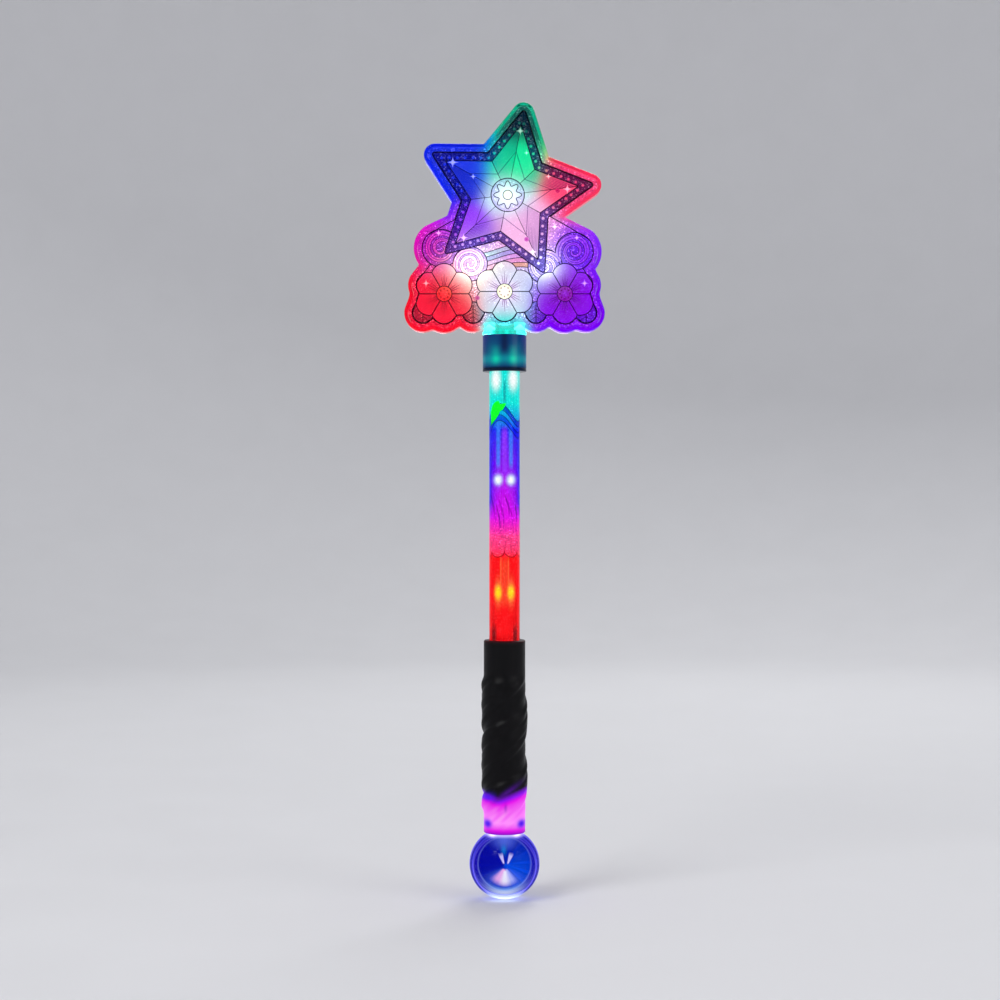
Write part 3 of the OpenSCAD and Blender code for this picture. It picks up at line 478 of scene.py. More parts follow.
star_inset, facet_inset, facet_tip, facet_corner = -1.3 * mm, -7.6 * mm, 45.5 * mm, 23.6 * mm
bead_r, bead_step, rosette_r, rosette_eye_r = 0.95 * mm, 5 * mm, 10.6 * mm, 3.0 * mm
border_paint = (0.14, 0.1, 0.36, 1)
star_edge = ring(star_middle, lambda turn: star_reach(turn, star_inset), 720)
draw(16, fan(star_middle, star_edge, 14, border_paint, border_paint))
draw(17, stroke(star_edge, line * 1.2, ink))
star_ways = np.pi / 2 - star_lean + np.pi / 5 * np.arange(11)
facet_reach = np.where(np.arange(11) % 2 == 0, facet_tip, facet_corner)
facet_points = star_middle + facet_reach[:, None] * heading(star_ways)
for k in range(10):
    tone = (1, 1, 1, 0.1) if k % 2 else (0.74, 0.68, 0.84, 0.1)
    draw(18, fan(star_middle, between(facet_points[k], facet_points[k + 1], 26), 20, (1, 1, 1, 0.1), tone))
    draw(19, stroke(between(facet_points[k], facet_points[k + 1], 30), line, ink))
    draw(19, stroke(between(star_middle, facet_points[k], 30), np.linspace(0.12, 0.24, 30) * mm, ink))

for k in range(10):
    facet = facet_points[[k, k + 1]] - star_middle
    inner = star_middle + facet * 0.62
    draw(19, stroke(between(inner[0], inner[1], 24), line * 0.7, (0.3, 0.22, 0.4, 0)))
    if k % 2 == 0:
        for share in np.linspace(0.68, 0.94, 7):
            hatch = star_middle + facet * share
            hatch = between(hatch[0], hatch[0] + (hatch[1] - hatch[0]) * 0.55, 14)
            draw(19, stroke(hatch, np.linspace(0.2, 0.04, 14) * mm, (0.36, 0.26, 0.5, 0)))


def bead_reach(turn):
    """Half way between the star's edge and its facets."""
    return (star_reach(turn, star_inset) + star_reach(turn, facet_inset)) / 2


bead_path = ring(star_middle, bead_reach, 2400)
for middle in pick_along(bead_path, lambda length: np.arange(0, length - 2 * mm, bead_step)):
    draw(18, fan(middle, ring(middle, bead_r, 20), 2, (1, 1, 1, 0), (0.7, 0.62, 0.95, 0)))

rosette = ring(star_middle, lambda turn: (7.4 + 1.5 * np.cos(8 * turn)) * mm, 160)
rosette_disc, rosette_eye = ring(star_middle, rosette_r, 90), ring(star_middle, rosette_eye_r, 40)
draw(20, fan(star_middle, rosette_disc, 4, (1, 0.95, 1, 0), (0.85, 0.7, 0.95, 0.5)))
draw(21, stroke(rosette_disc, line, ink))
draw(21, fan(star_middle, rosette, 4, (1, 1, 1, 0), (1, 0.85, 0.95, 0)))
draw(22, stroke(rosette, line * 0.9, ink))
draw(22, fan(star_middle, rosette_eye, 2, (1, 0.95, 0.8, 0), (1, 0.85, 0.6, 0)))
draw(23, stroke(rosette_eye, line * 0.8, ink))

for x, z, size in (
    (-33, 366, 3.6), (-20, 357, 2.2), (10, 386, 3.0), (14, 372, 1.8), (40, 349, 3.2), (28, 357, 2.0),
    (-26, 318, 3.0), (18, 309, 2.6), (-42, 321, 2.4), (46, 318, 2.2), (-50, 289, 2.6), (51, 289, 2.6),
    (-2, 300, 2.4), (32, 325, 2.6),
):
    draw(24, sparkle(np.array([x, z]) * mm, size * mm, 48, (1.9, 1.9, 1.9, 0), (1.5, 1.5, 1.5, 0)))
for middle in np.array([(-14, 317), (14, 317), (33.8, 348), (-17.3, 279.7)]) * mm:
    draw(24, fan(middle, ring(middle, 1.5 * mm, 28), 2, (0.55, 0.1, 0.5, 0), (0.8, 0.35, 0.8, 0)))

film_edge = star_middle + head_reach(-0.9 * mm)[:, None] * heading(head_turn)
draw(25, stroke(np.vstack([film_edge, film_edge[:1]]), line * 1.1, ink))

film_back, film_front, layer_step, flake_size = 6.2 * mm, 6.24 * mm, 0.005 * mm, 0.8 * mm


def print_finish(name, flash):
    """Translucent printed film: a dim body of its paint's colour, its glow as light, and flakes of
    glitter, painted into that light as glints that brighten it and specks that dim it, where the paint
    holds any: small round cells, one in three of them bright."""
    material = moulded(name, "paint", 0.4, 0.8 * mm, 0.01 * mm, glow="glow", Specular_IOR_Level=0.04)
    tree = material.node_tree
    shader = tree.nodes["Principled BSDF"]
    body = shader.inputs["Base Color"].links[0].from_node.outputs["Vector"]
    dim = put(tree, "ShaderNodeVectorMath", {0: body, "Scale": 0.006}, operation="SCALE")
    tree.links.new(dim.outputs["Vector"], shader.inputs["Base Color"])
    place = put(tree, "ShaderNodeTexCoord").outputs["Object"]
    amount = put(tree, "ShaderNodeAttribute", attribute_name="paint").outputs["Alpha"]
    flakes = put(tree, "ShaderNodeTexVoronoi", {"Vector": place, "Scale": 1 / flake_size})
    chance = put(tree, "ShaderNodeSeparateColor", {"Color": flakes.outputs["Color"]})

    def rescale(value, start, end, low, high):
        return put(tree, "ShaderNodeMapRange", {"Value": value, "From Min": start, "From Max": end,
                                                "To Min": low, "To Max": high}).outputs["Result"]

    def sum_up(first, second, operation):
        return put(tree, "ShaderNodeMath", {0: first, 1: second}, operation=operation).outputs["Value"]

    bright = sum_up(rescale(chance.outputs["Red"], 0.66, 1.0, 0.0, flash),
                    rescale(flakes.outputs["Distance"], 0.25, 0.55, 1.0, 0.0), "MULTIPLY")
    bright = sum_up(bright, amount, "MULTIPLY")
    dull = sum_up(rescale(chance.outputs["Green"], 0.0, 0.6, -0.35, 0.0), amount, "MULTIPLY")
    level = sum_up(sum_up(bright, dull, "ADD"), 1.0, "ADD")
    glow = shader.inputs["Emission Color"].links[0].from_socket
    light = put(tree, "ShaderNodeVectorMath", {0: glow, "Scale": level}, operation="SCALE").outputs["Vector"]
    white = sum_up(bright, 0.07, "MULTIPLY")
    white = put(tree, "ShaderNodeCombineXYZ", {"X": white, "Y": white, "Z": white}).outputs["Vector"]
    total = put(tree, "ShaderNodeVectorMath", {0: light, 1: white}, operation="ADD")
    tree.links.new(total.outputs["Vector"], shader.inputs["Emission Color"])
    return material


def opaque(light):
    """A colour layer of a light, with full cover."""
    return np.concatenate([light, np.ones_like(light[..., :1])], -1)


def head_grid(points, depth, side, paint):
    """Lays flat points of the picture at a depth in front of the board, or behind it, and lights them."""
    x, z = points[..., 0], points[..., 1]
    laid = np.stack([x, np.full_like(x, side * depth), z], -1)
    glow = paint[..., :3] * head_light(x, z) + 0.5 * np.clip(paint[..., :3] - 1, 0, None)
    return {"points": laid, "paint": paint, "glow": opaque(glow)}


def add_piece(name, grids, material, body, node=None):
    """Builds a piece from grids of points, hangs it from the body that carries it and hides the CAD node,
    if any, that it takes the place of."""
    piece = add_object(name, build_mesh(name, grids), material)
    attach(piece, body)
    if node:
        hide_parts(node)
    return piece


film_finish = print_finish("glitter_film", 3.0)
film_share = np.concatenate([np.linspace(0, 0.9, 16), [0.95, 0.98, 1.0]])
film_border = 1.9 * mm
film_reach = film_share[None, :] * head_reach(film_border)[:, None]
film_flat = star_middle + film_reach[..., None] * heading(head_turn)[:, None]
film_paint = np.broadcast_to(np.array([0.9, 0.8, 1.0, 1.0]), film_flat.shape[:2] + (4,))
for name, node, side in (("front_film", "front_print_film", -1), ("back_film", "back_print_film", 1)):
    face = head_grid(film_flat, film_front, side, film_paint)
    rear = head_grid(film_flat, film_back, side, film_paint)
    edge = {key: np.stack([face[key][:, -1], rear[key][:, -1]], 1) for key in face}
    film_grids = [part | {"wrap": (True, False)} for part in (face, rear, edge)]
    add_piece(name, film_grids, film_finish, "wand", node)
    cells = []
    for layer, points, paint in drawing:
        along, across = points[1, -1] - points[0, -1], points[0, -1] - points[0, 0]
        turning = along[0] * across[1] - along[1] * across[0]
        rows = slice(None, None, -1 if (turning > 0) == (side > 0) else 1)
        depth = film_front + (layer + 1) * layer_step
        cells.append(head_grid(points[rows], depth, side, paint[rows]) | {"solid": False})
    add_piece(name + "_picture", cells, film_finish, "wand")

# The head's two shells: clear moulded acrylic faces with a side wall, glued round the edge, which carry the
# lamps' light out to their rounded rim. Each row of a shell is how far it lies outside the star and its
# lobes, its depth, the share of that reach and how brightly it is lit.
head_border, head_side, head_round = 4.5 * mm, 2.2 * mm, 2.0 * mm
head_face, head_inside, seam_gap = 8 * mm, 6.42 * mm, 0.05 * mm


def clear_finish(name, rough, index, **sockets):
    """Clear moulded acrylic: it lets light through, tinted by its paint, and gives off the light led to
    its edges. The index is below acrylic's, so that the studio doesn't veil the print."""
    return moulded(name, "paint", rough, 3 * mm, 0.004 * mm, mottle=0.02, glow="glow", IOR=index,
                   **{"Transmission_Weight": 1.0} | sockets)


shell_finish = clear_finish("clear_acrylic", 0.03, 1.14)
face_share = np.array([0, 0.3, 0.6, 0.85, 0.95, 0.985, 1.0])
print_edge, flat_edge, inner_edge = 1.4 * mm, head_border - head_round, head_border - head_side
shell_rows = [(print_edge, -head_face, share, 0.0) for share in face_share]
shell_rows += [(flat_edge, -head_face, 1.0, 0.05)]
shell_rows += [(flat_edge + head_round * np.sin(a), -head_face + head_round * (1 - np.cos(a)), 1.0,
                0.05 + 0.07 * np.sin(a)) for a in np.linspace(0, np.pi / 2, 9)[1:]]
shell_rows += [(head_border, -3 * mm, 1.0, 0.16), (head_border, -0.3 * mm, 1.0, 0.24),
               (head_border - 0.25 * mm, -seam_gap, 1.0, 0.3), (inner_edge, -seam_gap, 1.0, 0.2),
               (inner_edge, -3 * mm, 1.0, 0.16), (inner_edge, -head_inside, 1.0, 0.16)]
shell_rows += [(print_edge, -head_inside, share, 0.0) for share in face_share[::-1]]
shell_depth, shell_lit = np.array([row[1] for row in shell_rows]), np.array([row[3] for row in shell_rows])
shell_reach = np.stack([share * head_reach(grow) for grow, depth, share, lit in shell_rows], 1)
x = star_middle[0] + shell_reach * np.cos(head_turn)[:, None]
z = star_middle[1] + shell_reach * np.sin(head_turn)[:, None]
light, level = head_light(x, z), shell_lit[None, :, None]
# Painted light: towards the rim the see-through tint takes the hue of the lamps' light; the face stays
# clear.
tint_and_painted_light = 1 - (1 - 0.75 * light / light.max(-1, keepdims=True)) * np.minimum(level * 5, 1)
for name, node, side in (("front_clear_shell", "head_front_shell", 1),
                         ("back_clear_shell", "head_back_shell", -1)):
    points = np.stack([x, np.broadcast_to(side * shell_depth, x.shape), z], -1)
    shell = {"points": points, "wrap": (True, False), "paint": opaque(tint_and_painted_light), "glow": opaque(light * level)}
    add_piece(name, [shell], shell_finish, "wand", node)

# The head's root: a block of the same clear plastic between the shells and the collar, with a round flange
# and a stub that goes down into the collar. It is lit cyan, in fine upright streaks. Each row is the half
# width, the half depth, the rise over the collar and the power of the rounded square that it follows.
flange_r, flange_top, root_top = 14 * mm, 2.6 * mm, 8 * mm
stub_r, stub_in, stub_z = 12 * mm, 10.05 * mm, 21.3 * mm
round_rows = [(0, 0), (stub_in, 0), (stub_in, -stub_z), (stub_r, -stub_z), (stub_r, 0.02 * mm),
              (flange_r - 0.3 * mm, 0.02 * mm), (flange_r, 0.3 * mm), (flange_r, flange_top - 0.6 * mm),
              (flange_r - 0.6 * mm, flange_top)]
root_rows = np.array([(radius, radius, rise, 2) for radius, rise in round_rows] + [
    (flange_r - 0.7 * mm, 6.35 * mm, flange_top + 0.2 * mm, 4),
    (flange_r - 1 * mm, 6.3 * mm, root_top - 1 * mm, 6),
    (flange_r - 2 * mm, 5.6 * mm, root_top, 6), (0, 0, root_top, 6),
])
half_x, half_y, rise, square = root_rows.T
turn = loop(144)[:, None]
root_points = np.stack([
    half_x * np.sign(np.sin(turn)) * np.abs(np.sin(turn)) ** (2 / square),
    -half_y * np.sign(np.cos(turn)) * np.abs(np.cos(turn)) ** (2 / square),
    np.broadcast_to(collar_top + rise, (len(turn), len(rise))),
], -1)


def ramp(value, start, end):
    """How far a value has gone from a start to an end, from 0 to 1 and no further."""
    return np.clip((value - start) / (end - start), 0, 1)


def tint(light, tone, share):
    """A light blended towards a tone by a share of 0 to 1."""
    return light + (colour(*tone)[:3] - light) * np.clip(share, 0, 1)[..., None]


root_x, root_rise = root_points[..., 0] / mm, (root_points[..., 2] - collar_top - flange_top) / mm
root_streak = 0.7 + 0.26 * np.sin(root_x / 0.9) * np.sin(root_x / 2.3 + 1)
root_glow = tint(colour(20, 238, 220)[:3], (120, 245, 240), ramp(root_rise, 0, 4)) * root_streak[..., None]
# Painted light: the clear block's see-through tint is cyan, from the lamp below.
root = {"points": root_points, "wrap": (True, False), "paint": (0.3, 0.9, 0.9, 1), "glow": opaque(root_glow)}
add_piece("head_root", [root], clear_finish("lit_acrylic", 0.25, 1.3), "wand")

# The collar: a glossy smoked navy sleeve glued over the neck's two halves and the top of the tube, with a
# lip left dark, as painted shade, where its light fades out. The upper lamps shine through it as a teal band
# with two brighter spots.
collar_low, collar_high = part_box("neck_collar")[0].z, collar_top
collar_r, collar_in, lip_in, lip_h, collar_edge = 14 * mm, 12.05 * mm, 10.05 * mm, 2 * mm, 0.5 * mm
collar_rise = np.linspace(collar_low + lip_h, collar_high - collar_edge, 40)
collar_profile = np.concatenate([
    [(lip_in, collar_low), (collar_r - collar_edge, collar_low),
     (collar_r - 0.15 * mm, collar_low + 0.15 * mm), (collar_r, collar_low + collar_edge),
     (collar_r, collar_low + lip_h - 0.5 * mm), (collar_r - 0.25 * mm, collar_low + lip_h - 0.25 * mm)],
    np.stack([np.full_like(collar_rise, collar_r), collar_rise], 1),
    [(collar_r - 0.15 * mm, collar_high - 0.15 * mm), (collar_r - collar_edge, collar_high),
     (collar_in, collar_high), (collar_in, collar_low + lip_h), (lip_in, collar_low + lip_h)],
])


def bell(offset, width, power=2):
    """A bell curve of an offset: 1 at its middle, falling off over the width, squarer for a higher power."""
    return np.exp(-np.abs(offset / width) ** power)


navy, midnight, dusk, teal, mint = (0, 45, 100), (0, 15, 55), (30, 30, 120), (0, 140, 150), (0, 200, 165)


def collar_light(across, rise):
    """The light through the collar at a place across it and over its foot, in mm: navy, darkest up the
    middle and violet at the upper sides, with a teal band at a third of its height, brightest before each
    lamp, with a fading streak up from there. Below the band it fades to near black over the lip, as painted
    shade."""
    out = np.abs(across)
    light = colour(*navy)[:3] * np.ones_like(across)[..., None]
    light = tint(light, teal, 0.4 * bell(out - 7, 4) * bell(rise - 11, 7))
    light = tint(light, midnight, 0.95 * bell(across, 2.6) * ramp(rise, 9, 15))
    light = tint(light, dusk, 0.6 * ramp(out, 10, 13) * ramp(rise, 15, 21))
    light = tint(light, teal, 0.8 * bell(rise - 7.5, 3))
    streak = 0.55 * ramp(rise, 17, 8) * (rise > 7.5)
    light = tint(light, mint, bell(out - 5.5, 2.4) * np.maximum(bell(rise - 7.5, 2.6), streak))
    return light * np.clip((rise - 1.6) / 1.8, 0.06, 1)[..., None]


collar_points = turned(collar_profile, loop(160))
collar_glow = collar_light(collar_points[..., 0] / mm, (collar_points[..., 2] - collar_low) / mm)
collar = {"points": collar_points, "wrap": (True, True), "paint": (0.002, 0.008, 0.025, 1),
          "glow": opaque(collar_glow)}
add_piece("smoked_collar", [collar], clear_finish("smoked_navy", 0.2, 1.22, Transmission_Weight=0.0),
          "wand", "neck_collar")

# The tube's print film: a sheet rolled inside the tube, printed with leaves, ribbons, scallops and
# sparkles, and lit from within by three pairs of lamps, cyan at the top, violet in the middle and amber at
# the bottom.
film_low, film_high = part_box("tube_print_film")[0].z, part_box("tube_print_film")[1].z
roll_r, roll_in = 8.84 * mm, 8.72 * mm
lamp_rows = [(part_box(node)[0].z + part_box(node)[1].z) / 2
             for node in ("upper_tube_leds", "middle_tube_leds", "lower_tube_leds")]


def colour_run(place, stops):
    """Colours that change along a line: straight blends between stops, each a place on it and its colour."""
    places, tones = [stop[0] for stop in stops], np.array([colour(*stop[1])[:3] for stop in stops])
    return np.stack([np.interp(place, places, tones[:, k]) for k in range(3)], -1)


dark_red, scarlet, rose, fuchsia = (110, 0, 10), (255, 0, 10), (250, 40, 120), (230, 0, 235)
azure, sky, white = (10, 30, 235), (50, 130, 255), (255, 255, 255)
orange, amber = (255, 110, 60), (255, 220, 20)


def tube_light(x, z):
    """The light that the tube's film passes: one run of colours up the tube, from red by fuchsia and violet
    to blue and cyan. The sides are dimmer at the foot and lose their red over the fuchsia. Streaks follow
    the board and the tube's sides, and each lamp has a halo and a core. A streak is its place to either
    side, half width, foot, top, colour and share. A glint is its lamp row, place to either side, half
    width, half height, colour and share. Lengths are in mm."""
    run = ((50, dark_red), (66, scarlet), (114, scarlet), (128, rose), (140, fuchsia), (172, violet),
           (196, azure), (213, cyan))
    streaks = (
        (0, 0.8, 213, 227, teal, 0.75), (4, 1.2, 172, 201, sky, 0.75), (0, 1.6, 168, 196, lilac, 0.8),
        (2.4, 0.4, 97, 114, orange, 0.75), (0, 1.8, 84, 113, orange, 0.3), (8.2, 0.6, 44, 108, scarlet, 0.8),
        (6.6, 1.3, 44, 70, dark_red, 0.85),
    )
    glints = (
        (0, 5.4, 2.8, 6.8, white, 0.95), (1, 4, 1.6, 7.5, lilac, 0.6), (1, 4, 2.6, 3.2, ice, 1),
        (1, 4, 1.5, 2.1, white, 1), (2, 4, 2.2, 8.8, orange, 0.85), (2, 4, 2, 4.3, amber, 1),
    )
    across, rise = np.abs(x) / mm, z / mm
    side = np.clip(np.abs(x) / roll_r, 0, 1) ** 2.4
    light = colour_run(rise, run) * (1 - 0.6 * side * ramp(rise, 92, 62))[..., None]
    light[..., 0] *= 1 - 0.95 * side * ramp(rise, 138, 150)
    light = light * (1 + 0.08 * np.sin(4.1 * x / mm + 0.4) + 0.06 * np.sin(9.7 * x / mm + 1.1))[..., None]
    for middle, width, low, high, tone, share in streaks:
        up = ramp(rise, low - 2.5, low + 2.5) * ramp(rise, high + 2.5, high - 2.5)
        light = tint(light, tone, share * bell(across - middle, width, 4) * up)
    for row, middle, width, tall, tone, share in glints:
        far = np.hypot((across - middle) / width, (z - lamp_rows[row]) / mm / tall)
        light = tint(light, tone, share * bell(far, 1, 3))
    return light


def roll(points, rise, paint):
    """Rolls flat points (distance round the tube from its front, height) on to the film and lights them."""
    turn = points[..., 0] / roll_r
    laid = np.stack([(roll_r + rise) * np.sin(turn), -(roll_r + rise) * np.cos(turn), points[..., 1]], -1)
    glow = paint[..., :3] * tube_light(laid[..., 0], laid[..., 2])
    return {"points": laid, "paint": paint, "glow": opaque(glow)}


tube_finish = print_finish("tube_film", 2.0)
roll_round = np.pi * roll_r
flat = np.stack(np.meshgrid(np.linspace(-roll_round, roll_round, 128, endpoint=False),
                            np.linspace(film_low, film_high, 300), indexing="ij"), -1)
plain = np.broadcast_to(np.array([1.0, 1.0, 1.0, 0.35]), flat.shape[:2] + (4,))
sleeve, lining = roll(flat, 0, plain), roll(flat, roll_in - roll_r, plain)
ends = [{key: np.stack([sleeve[key][:, end], lining[key][:, end]], 1) for key in sleeve} for end in (0, -1)]
add_piece("rolled_film", [part | {"wrap": (True, False)} for part in (sleeve, lining, *ends)], tube_finish,
          "wand", "tube_print_film")

motifs = []


def print_motif(layer, cell):
    """Adds a cell or a line to the tube's print; higher layers lie over lower ones."""
    motifs.append((layer, *cell))


def band(low, high, paint, columns=160, rows=10):
    """A printed band right round the tube between two edges, each a height for every place round it."""
    s = np.linspace(-roll_round, roll_round, columns + 1)
    z = low(s)[:, None] + (high(s) - low(s))[:, None] * np.linspace(0, 1, rows + 1)[None, :]
    points = np.stack([np.broadcast_to(s[:, None], z.shape), z], -1)
    return points, np.broadcast_to(np.array(paint), z.shape + (4,))


def edging(height, half_width, paint):
    """A drawn line right round the tube at a height for every place round it."""
    s = np.linspace(-roll_round, roll_round, 241)
    return stroke(np.stack([s, height(s)], 1), half_width, paint)


scallop, scallop_z = 2 * roll_round / 6, 118.5 * mm


def scallop_foot(s):
    """Round lobes side by side: each hangs down as the root of a sine over its width."""
    return scallop_z - 3.9 * mm * np.sqrt(np.abs(np.sin(np.pi * s / scallop)))


points, paint = band(scallop_foot, lambda s: 133 * mm + 0 * s, (1.05, 1.05, 1.05, 0.8), 192, 14)
foot_share = np.linspace(1, 0, paint.shape[1])[None, :, None]
print_motif(1, (points, paint + np.array([0.02, 2.4, 1.2, 0.3]) * foot_share))
print_motif(2, edging(scallop_foot, 0.24 * mm, (0.4, 0.06, 0.12, 0)))
run = np.linspace(0, 1, 24)
for s in np.arange(6) * scallop - roll_round:
    fold = np.stack([s + 0.8 * mm * np.sin(run * 3), scallop_z + 13 * mm * run], 1)
    print_motif(2, stroke(fold, 0.16 * mm * (1 - run) + 0.02 * mm, (0.6, 0.2, 0.45, 0)))


def wave_line(step):
    """A slanting wave round the tube, twice in a turn; each step lies a band higher."""
    return lambda s: (196 + 3.6 * step) * mm + 5.6 * mm * np.cos(2 * (s + 3.2 * mm) / roll_r)


ribbon_paints = ((0.2, 0.3, 0.95, 0.2), (0.5, 0.9, 1.05, 0.2), (0.2, 0.16, 0.8, 0.2))
for step, paint in enumerate(ribbon_paints):
    print_motif(1, band(wave_line(step), wave_line(step + 1), paint, rows=5))
for step in range(len(ribbon_paints) + 1):
    print_motif(2, edging(wave_line(step), 0.24 * mm, (0.04, 0.04, 0.25, 0)))

run = np.linspace(0, 1, 25)
sprig = (((2.4, 214), -2.75, 17, 3.4), ((2.6, 206.5), -1.5, 7.5, 2.2), ((1.6, 208), 0.9, 7.0, 1.7))
for s in np.array([-6.4, 21.4]) * mm:
    for start, way, length, half in sprig:
        spine_way = (np.sin(way), np.cos(way))
        spine = np.array([s, 0]) + np.array(start) * mm + np.outer(run * length * mm, spine_way)
        leaf_half = half * mm * np.sin(np.pi * run ** 0.75) + 0.02 * mm
        print_motif(3, stroke(spine, leaf_half + 0.28 * mm, (0.02, 0.12, 0.05, 0), 6))
        print_motif(4, stroke(spine, leaf_half, (1, 3.4, 0.03, 0.25), 6))
        print_motif(5, stroke(spine[2:-3], 0.14 * mm, (0.3, 1.4, 0.03, 0)))

wisp_maker = np.random.default_rng(5)
wisp_paints = ((0.42, 0.5, 0.55, 0.3), (0.62, 0.3, 0.7, 0.3), (1.05, 2.4, 1.02, 0.3))
run = np.linspace(0, 1, 40)
for k, s in enumerate(np.linspace(-roll_round, roll_round, 31)[:-1]):
    top, drop, bow, width = wisp_maker.uniform((148, 9, 1.0, 0.25), (157, 19, 2.6, 0.62))
    wisp = np.stack([s + (2.2 * run + bow * np.sin(2.6 * run)) * mm, (top - drop * run) * mm], 1)
    wisp_half = width * mm * np.sin(np.pi * run ** 0.8) + 0.02 * mm
    print_motif(1 + k % 3, stroke(wisp, wisp_half, wisp_paints[k % 3], 2))
for s, z, size in zip(wisp_maker.uniform(-roll_round, roll_round, 44), wisp_maker.uniform(52, 194, 44) * mm,
                      wisp_maker.uniform(0.5, 1.2, 44) * mm):
    print_motif(5, sparkle(np.array([s, z]), size, 32, (1.5, 2.0, 1.9, 0), (1.2, 1.5, 1.4, 0)))
tube_picture = [roll(points, (0.02 + 0.02 * layer) * mm, paint) | {"solid": False}
                for layer, points, paint in motifs]
add_piece("rolled_film_picture", tube_picture, tube_finish, "wand")

# The tube: clear extruded acrylic, 20 mm across, cut square with its outer edges eased. It is seated in the
# grip below and glued in the neck above.
tube_low, tube_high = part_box("clear_tube")[0].z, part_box("clear_tube")[1].z
tube_r, tube_in, tube_edge = 10 * mm, 8.8 * mm, 0.2 * mm
tube_profile = [(tube_in, tube_low), (tube_r - tube_edge, tube_low), (tube_r, tube_low + tube_edge),
                (tube_r, tube_high - tube_edge), (tube_r - tube_edge, tube_high), (tube_in, tube_high)]
tube = {"points": turned(tube_profile, loop(192)), "wrap": (True, True), "paint": (0.97, 0.99, 1, 1),
        "glow": (0, 0, 0, 1)}
add_piece("extruded_tube", [tube], clear_finish("clear_extrusion", 0.02, 1.1),
          "wand", "clear_tube")

# The three cells: steel cans in a plain shrunk jacket with a copper band at the nub end, held side by side
# in the cradle, two with the nub up and one with it down.
jacket_finish = moulded("cell_jacket", (0.16, 0.17, 0.19, 1), 0.42, 0.8 * mm, 0.01 * mm, Metallic=0.6,
                        Coat_Weight=0.2)
copper_finish = moulded("copper_jacket", (0.62, 0.32, 0.14, 1), 0.4, 0.8 * mm, 0.01 * mm, Metallic=0.7,
                        Coat_Weight=0.2)
cell_nodes = (("battery_front", True), ("battery_left", True), ("battery_right", False))
nub_t, crimp, band_h = 0.8 * mm, 0.5 * mm, 11 * mm
for node, nub_up in cell_nodes:
    low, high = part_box(node)
    middle = (np.array(low) + high) / 2
    length, cell_r = high.z - low.z, (high.x - low.x) / 2
    shoulder, nub_r, under = length - nub_t, 0.38 * cell_r, cell_r - 0.03 * mm
    can = [(0, 0), (cell_r - 1.3 * mm, 0), (cell_r - 1.2 * mm, 0.25 * mm), (cell_r - crimp, 0.25 * mm),
           (cell_r - 0.1 * mm, 0.12 * mm), (cell_r, crimp),
           (cell_r - 0.05 * mm, crimp), (cell_r - 0.05 * mm, shoulder - crimp),
           (cell_r, shoulder - crimp), (cell_r - 0.15 * mm, shoulder - 0.1 * mm), (cell_r - crimp, shoulder),
           (cell_r - 1.1 * mm, shoulder - 0.2 * mm), (nub_r + 0.3 * mm, shoulder - 0.1 * mm),
           (nub_r, shoulder + 0.2 * mm), (nub_r, length - 0.2 * mm), (nub_r - 0.2 * mm, length), (0, length)]
    band_z = length - band_h
    jacket = [(under, crimp), (cell_r, crimp + 0.05 * mm), (cell_r, band_z), (under, band_z)]
    copper = [(under, band_z), (cell_r, band_z), (cell_r, shoulder - crimp - 0.05 * mm),
              (under, shoulder - crimp)]
    for label, profile, material, slot, replaced in (
        ("can", can, metal_finish, "plated_metal", node),
        ("jacket", jacket, jacket_finish, "cell_jacket", None),
        ("band", copper, copper_finish, "cell_jacket", None),
    ):
        profile = np.array(profile)
        profile[:, 1] = low.z + profile[:, 1] if nub_up else high.z - profile[:, 1]
        points = turned(profile, loop(64)) + (middle[0], middle[1], 0)
        cell_grid = {"points": points, "wrap": (True, label != "can")}
        add_piece(f"{node}_{label}", [cell_grid], material, "wand", replaced)

# The contact springs: coils of plated wire, one between the flat end of each cell and its contact plate,
# shown at the length that the cell presses them to.
spring_r, spring_wire, spring_len, spring_turns = 2.6 * mm, 0.3 * mm, 2.7 * mm, 2
off_axis = (0.31, 0.87, 0.38)


def rod(path, radius, sides=12):
    """A round rod carried along a path: a circle square to the path at every point, with the ends closed."""
    way = np.gradient(path, axis=0)
    way /= np.linalg.norm(way, axis=1, keepdims=True)
    across = np.cross(way, off_axis)
    across /= np.linalg.norm(across, axis=1, keepdims=True)
    over = np.cross(way, across)
    turn = loop(sides)[None, :, None]
    skin = path[:, None] + radius * (np.cos(turn) * across[:, None] + np.sin(turn) * over[:, None])
    ends = np.repeat(path[[0, -1], None], sides, 1)
    return np.concatenate([ends[:1], skin, ends[1:]])


coils = []
run = np.linspace(0, 1, 73)
turn = 2 * np.pi * spring_turns * run
for node, nub_up in cell_nodes:
    low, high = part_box(node)
    base = low.z - spring_len if nub_up else high.z
    middle_x, middle_y = (low.x + high.x) / 2, (low.y + high.y) / 2
    coil_z = base + spring_wire + (spring_len - 2 * spring_wire) * run
    coil = np.stack([middle_x + spring_r * np.cos(turn), middle_y + spring_r * np.sin(turn), coil_z], 1)
    coils.append({"points": rod(coil, spring_wire, 10), "wrap": (False, True)})
add_piece("cell_springs", coils, metal_finish, "wand", "contact_springs")

# The ball's two lead wires: red insulated wire soldered to the control board, run down the gaps beside the
# front cell and soldered to the ball's board.
lead_r = 0.7 * mm
lead_stops = np.array([(7.88, -1.3, 35.25), (7.88, -1.3, 33.55), (8.9, -5.14, 19.5), (8.9, -5.14, 18),
                       (8.9, -5.14, -33), (8.9, -5.14, -38.5), (5.4, -5.14, -44.8), (5.4, -5.14, -47.2),
                       (5.4, -5.14, -50.8)]) * mm
leads = []
for side in (-1, 1):
    path = pick_along(lead_stops * (side, 1, 1), lambda length: np.linspace(0, length, 160))
    leads.append({"points": rod(path, lead_r), "wrap": (False, True)})
add_piece("lead_wires", leads, moulded("red_insulation", colour(150, 14, 18), 0.4, 0.5 * mm, 0.02 * mm),
          "wand", "ball_lead_wires")

